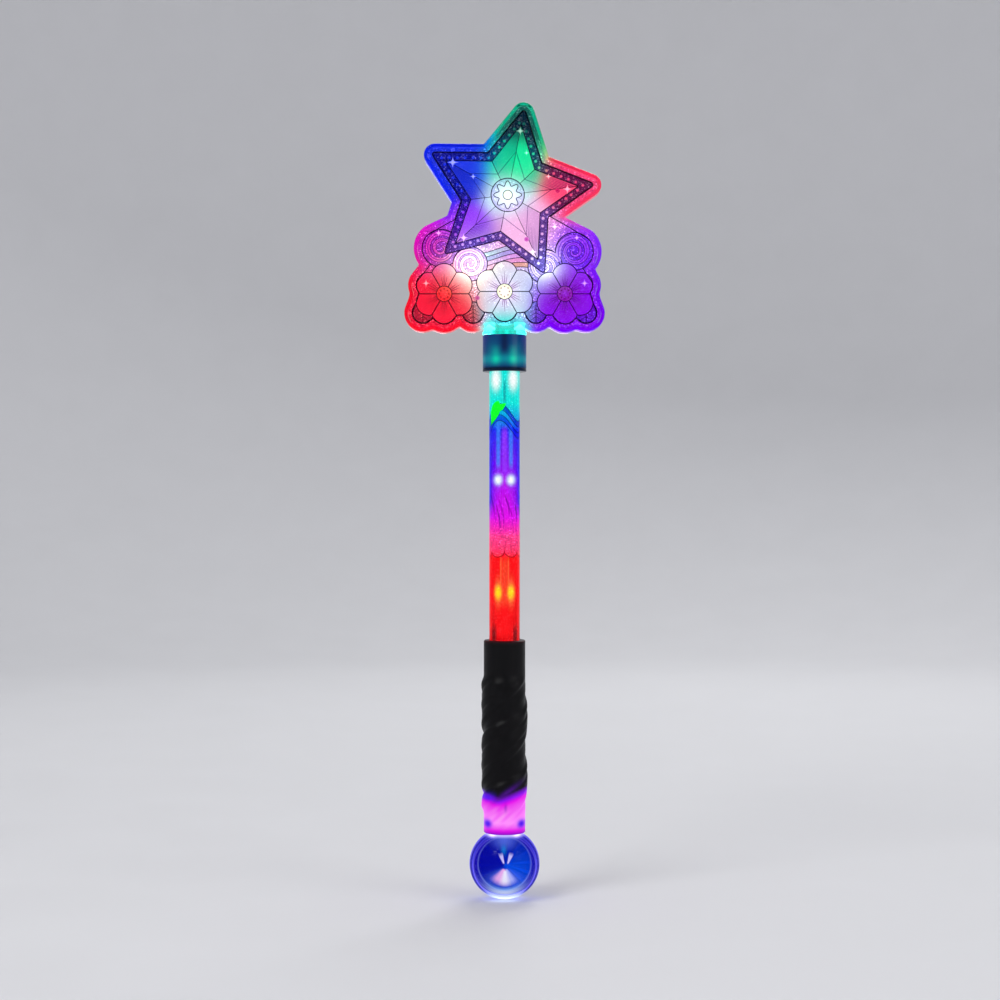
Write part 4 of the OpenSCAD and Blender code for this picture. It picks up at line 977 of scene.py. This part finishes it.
# The grip: two half shells of black satin plastic, carved with a ribbon that winds up it twice, and screwed
# together from the back. Near the ball the wall is thin enough for the blue lamp to shine through it in
# violet and pink.
grip_low, grip_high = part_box("grip_front_shell")[0].z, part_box("grip_front_shell")[1].z
grip_r, grip_wall, grip_bevel = 13.28 * mm, 1.6 * mm, 0.6 * mm
ribbon_lead, ribbon_height, ribbon_mid = 77 * mm, 1.6 * mm, -2.5 * mm
button_z, button_hole_r, screw_x, screw_hole_r = 26.08 * mm, 4.75 * mm, 9.03 * mm, 2.5 * mm
button_clear, screw_clear, door_screw_clear = 9 * mm, 5 * mm, 6 * mm
fold_half, fold_swing, fold_edge, ribbon_sway = 0.335, 0.085, 0.035, np.radians(22)
screw_rows = (-47.2 * mm, 38.6 * mm)
screw_places = [(side * screw_x, row) for row in screw_rows for side in (-1, 1)]
door_low, door_high, door_turn = -44 * mm, 18 * mm, np.radians(70)
door_screw_z, door_screw_r = -38.5 * mm, 3.0 * mm


def carving(turn, z):
    """How far the carved ribbon stands out: a broad flat fold along a two-start screw line that runs
    flatter across the front than across the back, wide to the left and narrow to the right, puckered
    along its length, with a fine cord beside it. It dies out at both ends of the grip and round the
    button and the screws."""
    lead = turn - ribbon_sway * np.sin(turn)
    phase = (z - ribbon_mid - ribbon_lead * lead / (2 * np.pi)) / (ribbon_lead / 2)
    off = (phase + 0.5) % 1 - 0.5
    half = fold_half - fold_swing * np.sin(turn)
    fold = 0.5 + 0.5 * np.tanh((half - np.abs(off)) / fold_edge)
    pucker = 0.1 * np.cos(2 * np.pi * (2.9 * off + 0.1))
    pucker = pucker + 0.07 * np.cos(2 * np.pi * (6.3 * off + 1.5 * turn / np.pi))
    crease = 0.3 * bell(off - 0.4 * half, 0.025) + 0.22 * bell(off + 0.45 * half, 0.03)
    cord = 0.1 * bell(np.abs(off) - 0.47, 0.03)
    fade = ramp(z, -50 * mm, -44 * mm) * ramp(z, 40 * mm, 34 * mm)
    fade = fade * fade * (3 - 2 * fade)
    x, back = grip_r * np.sin(turn), np.cos(turn) < 0
    for place_x, place_z, clear in ((0, button_z, button_clear), (0, door_screw_z, door_screw_clear),
                                    *[(*place, screw_clear) for place in screw_places]):
        near = bell(np.hypot(x - place_x, z - place_z), clear, 4)
        fade = fade * np.where(back, 1 - near, 1)
    return ribbon_height * (fold * (0.86 + pucker - crease) + cord) * fade


purple, indigo, plum = (120, 0, 190), (80, 0, 240), (70, 0, 130)
candy, dull_red, black = (255, 140, 255), (46, 0, 6), (0, 0, 0)


def grip_light(turn, z):
    """The light through the lower end of the grip: none above an edge like a shallow V, then violet,
    fuchsia and pale pink in slanting strokes down to a purple rim, with a darker violet round patch of
    painted shade to each side in front and behind, a short purple mark in front, a faint violet streak along
    the ribbon and a dull red at the top, next to the tube."""
    across, rise = grip_r * np.sin(turn) / mm, z / mm
    edge = 0.4 * np.hypot(across + 3.5, 2) - 1.5
    light = colour_run(rise - edge * ramp(rise, -54, -42), (
        (-61.5, purple), (-58.6, fuchsia), (-54, candy), (-42, fuchsia), (-39.4, violet), (-36, black)))
    light = tint(light, indigo, 0.85 * ramp(-across, 4, 9) * bell(rise + 37.8, 2.4))
    streak = bell(rise + 34.0 - 0.72 * (across - 2), 2.0)
    light = tint(light, plum, 0.85 * streak * bell(across - 1, 7))
    stroke_way = rise + 50 - 1.5 * across
    strokes = 0.5 + 0.3 * np.sin(stroke_way / 1.6) + 0.2 * np.sin(stroke_way / 0.7 + across)
    inside = bell(rise + 50, 6, 4)
    light = tint(light, pink, 0.5 * inside * ramp(strokes, 0.35, 1.35) * bell(across + 2, 7))
    light = tint(light, fuchsia, 0.5 * inside * ramp(strokes, 0.45, -0.55))
    mark = bell(across - 0.6, 0.9) * bell(rise + 44.0, 2.6)
    light = tint(light, purple, 0.6 * mark * (np.cos(turn) > 0))
    light = tint(light, indigo, bell(np.hypot(np.abs(across) - 10.8, rise + 54.8), 2.9, 3))
    return opaque(light + colour(*dull_red)[:3] * bell(z - grip_high, 1.2 * mm)[..., None])


def grip_skin(turn, z):
    """Points of the carved surface at angles from the front and heights, with the ends of the grip
    bevelled."""
    end = np.minimum(z - grip_low, grip_high - z)
    radius = grip_r - np.clip(grip_bevel - end, 0, None) + carving(turn, z)
    return np.stack([radius * np.sin(turn), -radius * np.cos(turn), z], -1)


def wall_patch(turns, heights, windows=(), holes=()):
    """A curved wall over a grid of angles and heights. A window leaves cells out. A hole, square to the
    back, has the cells round it drawn in from their rectangle to its circle in even steps."""
    turn, z = np.meshgrid(turns, heights, indexing="ij")
    keep = np.ones((len(turns) - 1, len(heights) - 1), bool)
    mid_turn, mid_z = (turns[1:] + turns[:-1]) / 2, (heights[1:] + heights[:-1]) / 2
    for t0, t1, z0, z1 in [*windows, *[hole[3] for hole in holes]]:
        keep &= ~(((mid_turn > t0) & (mid_turn < t1))[:, None] & ((mid_z > z0) & (mid_z < z1))[None])
    grids = [{"points": grip_skin(turn, z), "glow": grip_light(turn, z), "keep": keep}]
    for hole_x, hole_z, hole_r, (t0, t1, z0, z1) in holes:
        t = turns[(turns > t0 - 1e-9) & (turns < t1 + 1e-9)]
        h = heights[(heights > z0 - 1e-9) & (heights < z1 + 1e-9)]
        rim_turn = np.concatenate([t, np.full(len(h) - 1, t[-1]), t[-2::-1], np.full(len(h) - 2, t[0])])
        rim_z = np.concatenate([np.full(len(t), h[0]), h[1:], np.full(len(t) - 1, h[-1]), h[-2:0:-1]])
        rim = np.stack([grip_r * np.sin(rim_turn), rim_z], 1)
        way = rim - (hole_x, hole_z)
        round_hole = (hole_x, hole_z) + hole_r * way / np.linalg.norm(way, axis=1, keepdims=True)
        share = np.linspace(0, 1, 7)[None, :, None] ** 1.5
        flat = round_hole[:, None] + (rim - round_hole)[:, None] * share
        flat_turn = np.pi - np.arcsin(np.clip(flat[..., 0] / grip_r, -1, 1))
        flat_turn[:, -1] = rim_turn
        place = flat_turn, flat[..., 1]
        grids.append({"points": grip_skin(*place), "glow": grip_light(*place), "wrap": (True, False)})
    return grids


def lines(*stops, step):
    """Grid lines through every stop, and evenly between neighbours at no more than a step apart."""
    parts = [np.linspace(a, b, max(2, int(np.ceil((b - a) / step)) + 1))[:-1]
             for a, b in zip(stops, stops[1:])]
    return np.append(np.concatenate(parts), stops[-1])


grip_finish = moulded("black_satin", (0.003, 0.0028, 0.0036), 0.4, 0.5 * mm, 0.03 * mm, glow="glow",
                      Specular_IOR_Level=0.1)
inside_finish = moulded("inner_satin", (0.012, 0.006, 0.02), 0.5, 0.5 * mm, 0.03 * mm,
                        Specular_IOR_Level=0.2)


def thicken(piece, wall, bores=()):
    """Gives a skin its wall, inwards, with closed edges and an unlit inside; the wall thins to an eighth
    close round each bore."""
    points = np.empty(3 * len(piece.data.vertices), np.float32)
    piece.data.vertices.foreach_get("co", points)
    points = points.reshape(-1, 3)
    near = np.zeros(len(points), bool)
    for x, z, reach in bores:
        near |= (np.hypot(points[:, 0] - x, points[:, 2] - z) < reach) & (points[:, 1] > 0)
    group = piece.vertex_groups.new(name="full_wall")
    group.add(np.flatnonzero(~near).tolist(), 1.0, "REPLACE")
    solid = piece.modifiers.new("wall", "SOLIDIFY")
    solid.thickness, solid.offset = wall, -1
    solid.vertex_group, solid.thickness_vertex_group = group.name, 0.125
    piece.data.materials.append(inside_finish)
    solid.material_offset = solid.material_offset_rim = 1


def add_sleeve(name, body, place_x, place_z, rows):
    """A round sleeve square to the back: rings of the rows' radii about its line, each at a height above
    the wand's axis, or above the grip's skin where the row says so, joined into a closed ring and lit
    only next to the skin. Rows are in mm."""
    radius, height, on_skin = np.array(rows).T * np.array([[mm], [mm], [1]])
    turn = loop(72)[:, None]
    x, z = place_x + radius * np.cos(turn), place_z + radius * np.sin(turn)
    round_turn = np.pi - np.arcsin(x / grip_r)
    y = np.where(on_skin > 0, grip_skin(round_turn, z)[..., 1], 0) + height
    lit = np.where((on_skin > 0) & (height > -1 * mm), 1, 0.02)
    add_piece(name, [{"points": np.stack([x, y, z], -1), "wrap": (True, True),
                      "glow": grip_light(round_turn, z) * lit[:, None]}], grip_finish, body)


seam_turn, door_gap = 0.06 * mm / grip_r, 0.25 * mm
turn_step, row_step = np.radians(1.8), 0.9 * mm
low_rows, high_rows = (grip_low, grip_low + grip_bevel), (grip_high - grip_bevel, grip_high)
front_turns = lines(-np.pi / 2 + seam_turn, np.pi / 2 - seam_turn, step=turn_step)
front_rows = lines(*low_rows, *high_rows, step=row_step)
screw_t0, screw_t1 = np.arcsin(5.4 * mm / grip_r), np.arcsin(12.3 * mm / grip_r)
button_t, window_t = np.arcsin(7 * mm / grip_r), door_turn + door_gap / grip_r
window = (np.pi - window_t, np.pi + window_t, door_low - door_gap, door_high + door_gap)
side_turns = np.array([window_t, screw_t1, button_t, screw_t0])
back_turns = lines(np.pi / 2 + seam_turn, *(np.pi - side_turns), *(np.pi + side_turns[::-1]),
                   3 * np.pi / 2 - seam_turn, step=turn_step)
screw_boxes = [(screw_rows[0] - 3.2 * mm, window[2]), (screw_rows[1] - 3.4 * mm, screw_rows[1] + 3.4 * mm)]
button_box = (button_z - 6.6 * mm, button_z + 6.6 * mm)
back_rows = lines(*low_rows, *screw_boxes[0], window[3], *button_box, *screw_boxes[1], *high_rows,
                  step=row_step)
back_holes = [(0, button_z, button_hole_r, (np.pi - button_t, np.pi + button_t, *button_box))]
for row, box in zip(screw_rows, screw_boxes):
    back_holes.append((screw_x, row, screw_hole_r, (np.pi - screw_t1, np.pi - screw_t0, *box)))
    back_holes.append((-screw_x, row, screw_hole_r, (np.pi + screw_t0, np.pi + screw_t1, *box)))
for name, node, grids in (
    ("carved_front", "grip_front_shell", wall_patch(front_turns, front_rows)),
    ("carved_back", "grip_back_shell", wall_patch(back_turns, back_rows, [window], back_holes)),
):
    half = add_piece(name, grids, grip_finish, "wand", node)
    thicken(half, grip_wall, [(*place, 3.1 * mm) for place in screw_places])

# The grip's insides: sleeves that the four screws sit in, a boss that the door's screw goes into, and two
# rings moulded to the shells that the tube and the ball's neck are seated in.
screw_seat = 5.49
for k, (x, z) in enumerate(screw_places):
    add_sleeve(f"screw_sleeve_{k + 1}", "wand", x, z, [
        (1.25, 0.1, 0), (1.25, screw_seat, 0), (2.15, screw_seat, 0), (2.15, -0.1, 1), (2.25, 0.03, 1),
        (2.75, 0.03, 1), (2.9, -0.1, 1), (2.4, -1.6, 1), (2.4, 0.1, 0)])
add_sleeve("door_screw_boss", "wand", 0, door_screw_z, [
    (1.5, -8, 0), (1.5, 4, 0), (3.8, 4, 0), (4, 3.8, 0), (4, -12.2, 0)])

seat_out = grip_r - 1.2 * mm
for name, z0, z1, seat_in, glow in (
    ("tube_seat", 40 * mm, grip_high - 0.1 * mm, 10.05 * mm, (0, 0, 0, 1)),
    ("ball_seat", grip_low + 0.1 * mm, -52 * mm, 10.28 * mm, colour(96, 0, 150)),
):
    seat_profile = [(seat_in, z0), (seat_out, z0), (seat_out, z1), (seat_in + 0.3 * mm, z1),
                    (seat_in, z1 - 0.3 * mm)]
    add_piece(name, [{"points": turned(seat_profile, loop(120)), "wrap": (True, True), "glow": glow}],
              grip_finish, "wand")

# The battery door: a curved panel of the same carved plastic in the back of the grip, with finger ridges
# near its top and a captive screw near its foot, which runs in a lug moulded to its inside.
hole_t, hole_box = np.arcsin(4.4 * mm / grip_r), (door_screw_z - 4.4 * mm, door_screw_z + 4.4 * mm)
ridge_height, ridge_step, ridge_half = 0.35 * mm, 2 * mm, 5.5 * mm
ridge_low, ridge_mid, ridge_high = 7.4 * mm, 12 * mm, 16.6 * mm
door_turns = lines(np.pi - door_turn, np.pi - hole_t, np.pi + hole_t, np.pi + door_turn, step=turn_step)
door_rows = lines(door_low, *hole_box, door_high, step=0.7 * mm)
door_grids = wall_patch(door_turns, door_rows, holes=[
    (0, door_screw_z, door_screw_r, (np.pi - hole_t, np.pi + hole_t, *hole_box))])
for grid in door_grids:
    points = grid["points"]
    x, z = points[..., 0], points[..., 2]
    ridge = ridge_height * np.cos(2 * np.pi * (z - ridge_mid) / ridge_step).clip(0)
    ridge = ridge * ((np.abs(x) < ridge_half) & (z > ridge_low) & (z < ridge_high))
    grid["points"] = points + (points * (1, 1, 0) / grip_r) * ridge[..., None]
door = add_piece("door_panel", door_grids, grip_finish, "door", "battery_door")
thicken(door, grip_wall, [(0, door_screw_z, 3.6 * mm)])
add_sleeve("door_lug", "door", 0, door_screw_z, [
    (1.5, 4.05, 0), (1.5, 11.23, 0), (2.65, 11.23, 0), (2.65, -0.1, 1), (2.75, 0.03, 1), (3.5, 0.03, 1),
    (3.7, -0.1, 1), (4, -1.4, 1), (4, 4.3, 0), (3.8, 4.05, 0)])

# The push button: a domed purple cap with a dished top, that stands out of its hole in the back of the grip
# and rests on the switch's plunger by a short stem.
button_foot, flange_low, flange_high, button_top = 5.5 * mm, 8.86 * mm, 10.06 * mm, 14.48 * mm
stem_r, flange_out, cap_r, cap_round, dish_depth = 1.7 * mm, 5.5 * mm, 4.5 * mm, 0.9 * mm, 0.45 * mm
cap_turn = np.linspace(0, np.pi / 2, 8)
dish_r = np.linspace(cap_r - cap_round - 0.5 * mm, 0, 10)
cap_edge = np.stack([cap_r - cap_round + cap_round * np.cos(cap_turn),
                     button_top - cap_round + cap_round * np.sin(cap_turn)], 1)
dish = np.stack([dish_r, button_top - dish_depth * (1 - (dish_r / dish_r[0]) ** 2) - 0.05 * mm], 1)
button_profile = np.concatenate([
    [(0, button_foot), (stem_r, button_foot), (stem_r, flange_low), (flange_out, flange_low),
     (flange_out, flange_high), (cap_r, flange_high)], cap_edge, dish])
radius, depth = button_profile.T
turn = loop(96)[:, None]
x, z = radius * np.cos(turn), button_z + radius * np.sin(turn)
button_points = np.stack([x, np.broadcast_to(depth, x.shape), z], -1)
add_piece("button_cap", [{"points": button_points, "wrap": (True, False)}],
          moulded("purple_satin", colour(112, 44, 160), 0.32, 0.4 * mm, 0.015 * mm),
          "button", "push_button")

# The ball: two clear blue-tinted halves glued at the seam, pinned into the foot of the grip by their neck.
# Their rims, foot and neck ring catch the blue lamp's light, painted on with white highlights by the neck.
ball_z, ball_r, ball_in, ball_gap = -81.54 * mm, 22.5 * mm, 20.4 * mm, 0.03 * mm
neck_r, neck_in, neck_top, throat_z = 10.23 * mm, 8.23 * mm, -52 * mm, -61.8 * mm


def ball_half(side):
    """Half a hollow ball with its neck: a profile from the neck's mouth down the outside to the foot and
    back up the inside, carried through half a turn, with the two cut faces closed between outside and
    inside."""
    skins = []
    for neck, shell in ((neck_r, ball_r), (neck_in, ball_in)):
        angle = np.linspace(np.arcsin(neck / shell), np.pi, 60)
        bowl = np.stack([shell * np.sin(angle), ball_z + shell * np.cos(angle)], 1)
        skins.append(turned(np.vstack([[(neck, neck_top)], bowl]), np.linspace(-np.pi / 2, np.pi / 2, 97)))
    mouth = np.stack([skins[0][:, 0], skins[1][:, 0]], 1)
    cuts = [np.stack([skins[0][end], skins[1][end]], 1) for end in (0, -1)]
    grids = []
    for points in (*skins, mouth, *cuts):
        points = points * (1, side, 1) - (0, side * ball_gap, 0)
        x, z = points[..., 0], points[..., 2]
        reach = np.hypot(x, z - ball_z) / ball_r
        low = np.clip((ball_z - z) / ball_r, 0, 1)
        rim = 0.42 * (bell(reach - 0.99, 0.014) + 0.7 * bell(reach - 0.88, 0.012))
        foot = 1.25 * bell(reach - 0.94, 0.07) * bell(1 - low, 0.16)
        # Painted light on the neck ring, with two painted white highlights at its sides.
        throat = bell(z - throat_z, 1.1 * mm) * (0.5 + 1.1 * bell(np.abs(x) - 8 * mm, 2.2 * mm))
        # A belt round the middle plane gets a dim painted blue glow and a deeper blue tint.
        belt = bell(points[..., 1:2], 0.62 * ball_r)
        glow = (colour(130, 116, 255)[:3] * rim[..., None] + colour(226, 244, 255)[:3] * foot[..., None]
                + colour(232, 222, 255)[:3] * throat[..., None] + colour(24, 14, 180)[:3] * 0.16 * belt)
        tint_and_painted_light = np.array([0.88, 0.9, 1.0]) * (1 - belt) + np.array([0.02, 0.02, 0.36]) * belt
        grids.append({"points": points, "paint": opaque(tint_and_painted_light), "glow": opaque(glow)})
    return grids


ball_finish = clear_finish("blue_acrylic", 0.02, 1.07)
for name, node, side in (("ball_front_shell", "ball_front_half", 1),
                         ("ball_back_shell", "ball_back_half", -1)):
    add_piece(name, ball_half(side), ball_finish, "wand", node)

# The ball's disc: a clear lens with fine rings cut into both faces, on a thin web that is held between the
# ball's halves. It catches the blue lamp's light in wedges.
web_r, web_t, lens_r, lens_t, lens_rim_t = 20.3 * mm, 1.2 * mm, 17 * mm, 5 * mm, 2.4 * mm
ring_step, ring_depth = 0.5 * mm, 0.05 * mm


def disc_light(across, up):
    """The light in the disc at a place from its middle, in mm: deep blue, lighter to the lower right,
    with bright lines at the edge of the lens and near the ball's wall, a white and pink wedge below the
    middle, two narrow lavender wedges in a V above it, a pale haze under the neck and a white arc along
    the foot."""
    reach, turn = np.hypot(across, up), np.arctan2(up, across)
    right = (0.5 + 0.5 * np.cos(turn + np.radians(32))) ** 2
    lower = 0.5 + 0.5 * np.cos(turn + np.pi / 2)
    rays = 0.2 * np.sin(turn * 23) * np.sin(turn * 7 + 1) + 0.1 * np.sin(turn * 61)
    light = colour(0, 6, 158)[:3] * (1 - right)[..., None] + colour(0, 78, 220)[:3] * right[..., None]
    light = light * (1 + rays)[..., None]

    def wedge(apex_x, apex_z, way, half, near, far, soft):
        out = np.hypot(across - apex_x, up - apex_z)
        off = np.abs((np.degrees(np.arctan2(up - apex_z, across - apex_x)) - way + 180) % 360 - 180)
        fade = 0.25 * far - 1
        return (ramp(off, half + soft / 2, half - soft / 2) * ramp(out, near - 0.4, near + 0.4)
                * ramp(out, far + fade, far - fade))

    for tone, share in (
        ((38, 14, 186), 0.85 * ramp(reach, 17, 17.4)),
        ((120, 150, 255), 0.75 * bell(across, 3 + 0.3 * np.abs(up)) * ramp(up, 8, 15)),
        ((20, 150, 225), 0.7 * bell(across + 0.5, 1.6) * bell(up - 9, 3)),
        ((226, 222, 255), 0.7 * bell(across, 6, 4) * ramp(up, 16, 19)),
        ((96, 130, 240), 0.5 * wedge(0.4, -1.5, -92, 56, 3, 14, 30)),
        ((255, 186, 236), 0.95 * wedge(0.4, -1.5, -108, 26, 2, 11.5, 20)),
        ((206, 206, 255), 0.8 * wedge(0.4, -1.5, -68, 14, 2, 11.5, 16)),
        ((255, 252, 255), wedge(0.4, -1.5, -91, 14, 3, 11.5, 18)),
        ((222, 210, 255), 0.95 * wedge(0.4, -2.2, 109, 9, 2.6, 8.6, 3)),
        ((222, 210, 255), 0.95 * wedge(1.2, -2.2, 70, 9, 2.6, 8.8, 3)),
        ((150, 165, 255), (0.45 + 0.55 * lower ** 3) * bell(reach - 17, 0.4)),
        ((140, 130, 255), (0.7 + 0.3 * lower ** 3) * bell(reach - 20.2, 0.4)),
        ((150, 205, 255), 0.8 * lower ** 10 * ramp(reach, 15, 17)),
        ((240, 250, 255), 0.95 * lower ** 14 * ramp(reach, 16.8, 18.4)),
    ):
        light = tint(light, tone, share)
    return light


disc_r = np.concatenate([np.arange(0, lens_r / mm, ring_step / mm / 2) * mm, [lens_r]])
groove = ring_depth * (np.arange(len(disc_r)) % 2)
lens_face = lens_t / 2 - (lens_t - lens_rim_t) / 2 * disc_r / lens_r - groove
disc_profile = np.concatenate([
    np.stack([disc_r, lens_face], 1), np.stack([np.linspace(lens_r, web_r, 9), np.full(9, web_t / 2)], 1)])
radius, depth = np.concatenate([disc_profile, disc_profile[::-1] * (1, -1)]).T
turn = loop(240)[:, None]
x, z = radius * np.cos(turn), radius * np.sin(turn)
# Painted shade: the clear lens gets a near-black body, so only the lamp's light painted on it shows.
disc = {"points": np.stack([x, np.broadcast_to(-depth, x.shape), ball_z + z], -1), "wrap": (True, False),
        "paint": (0.003, 0.004, 0.03, 1), "glow": opaque(disc_light(x / mm, z / mm))}
add_piece("ringed_disc", [disc], clear_finish("lit_lens", 0.25, 1.08, Transmission_Weight=0.05),
          "wand", "ball_disc")

# The two neck pins: purple moulded pegs pressed through the foot of the grip into the ball's neck. They
# keep their CAD shape and get a satin finish.
dress(moulded("purple_peg", colour(92, 24, 150), 0.4, 0.4 * mm, 0.02 * mm), "ball_neck_pins")

low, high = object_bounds()
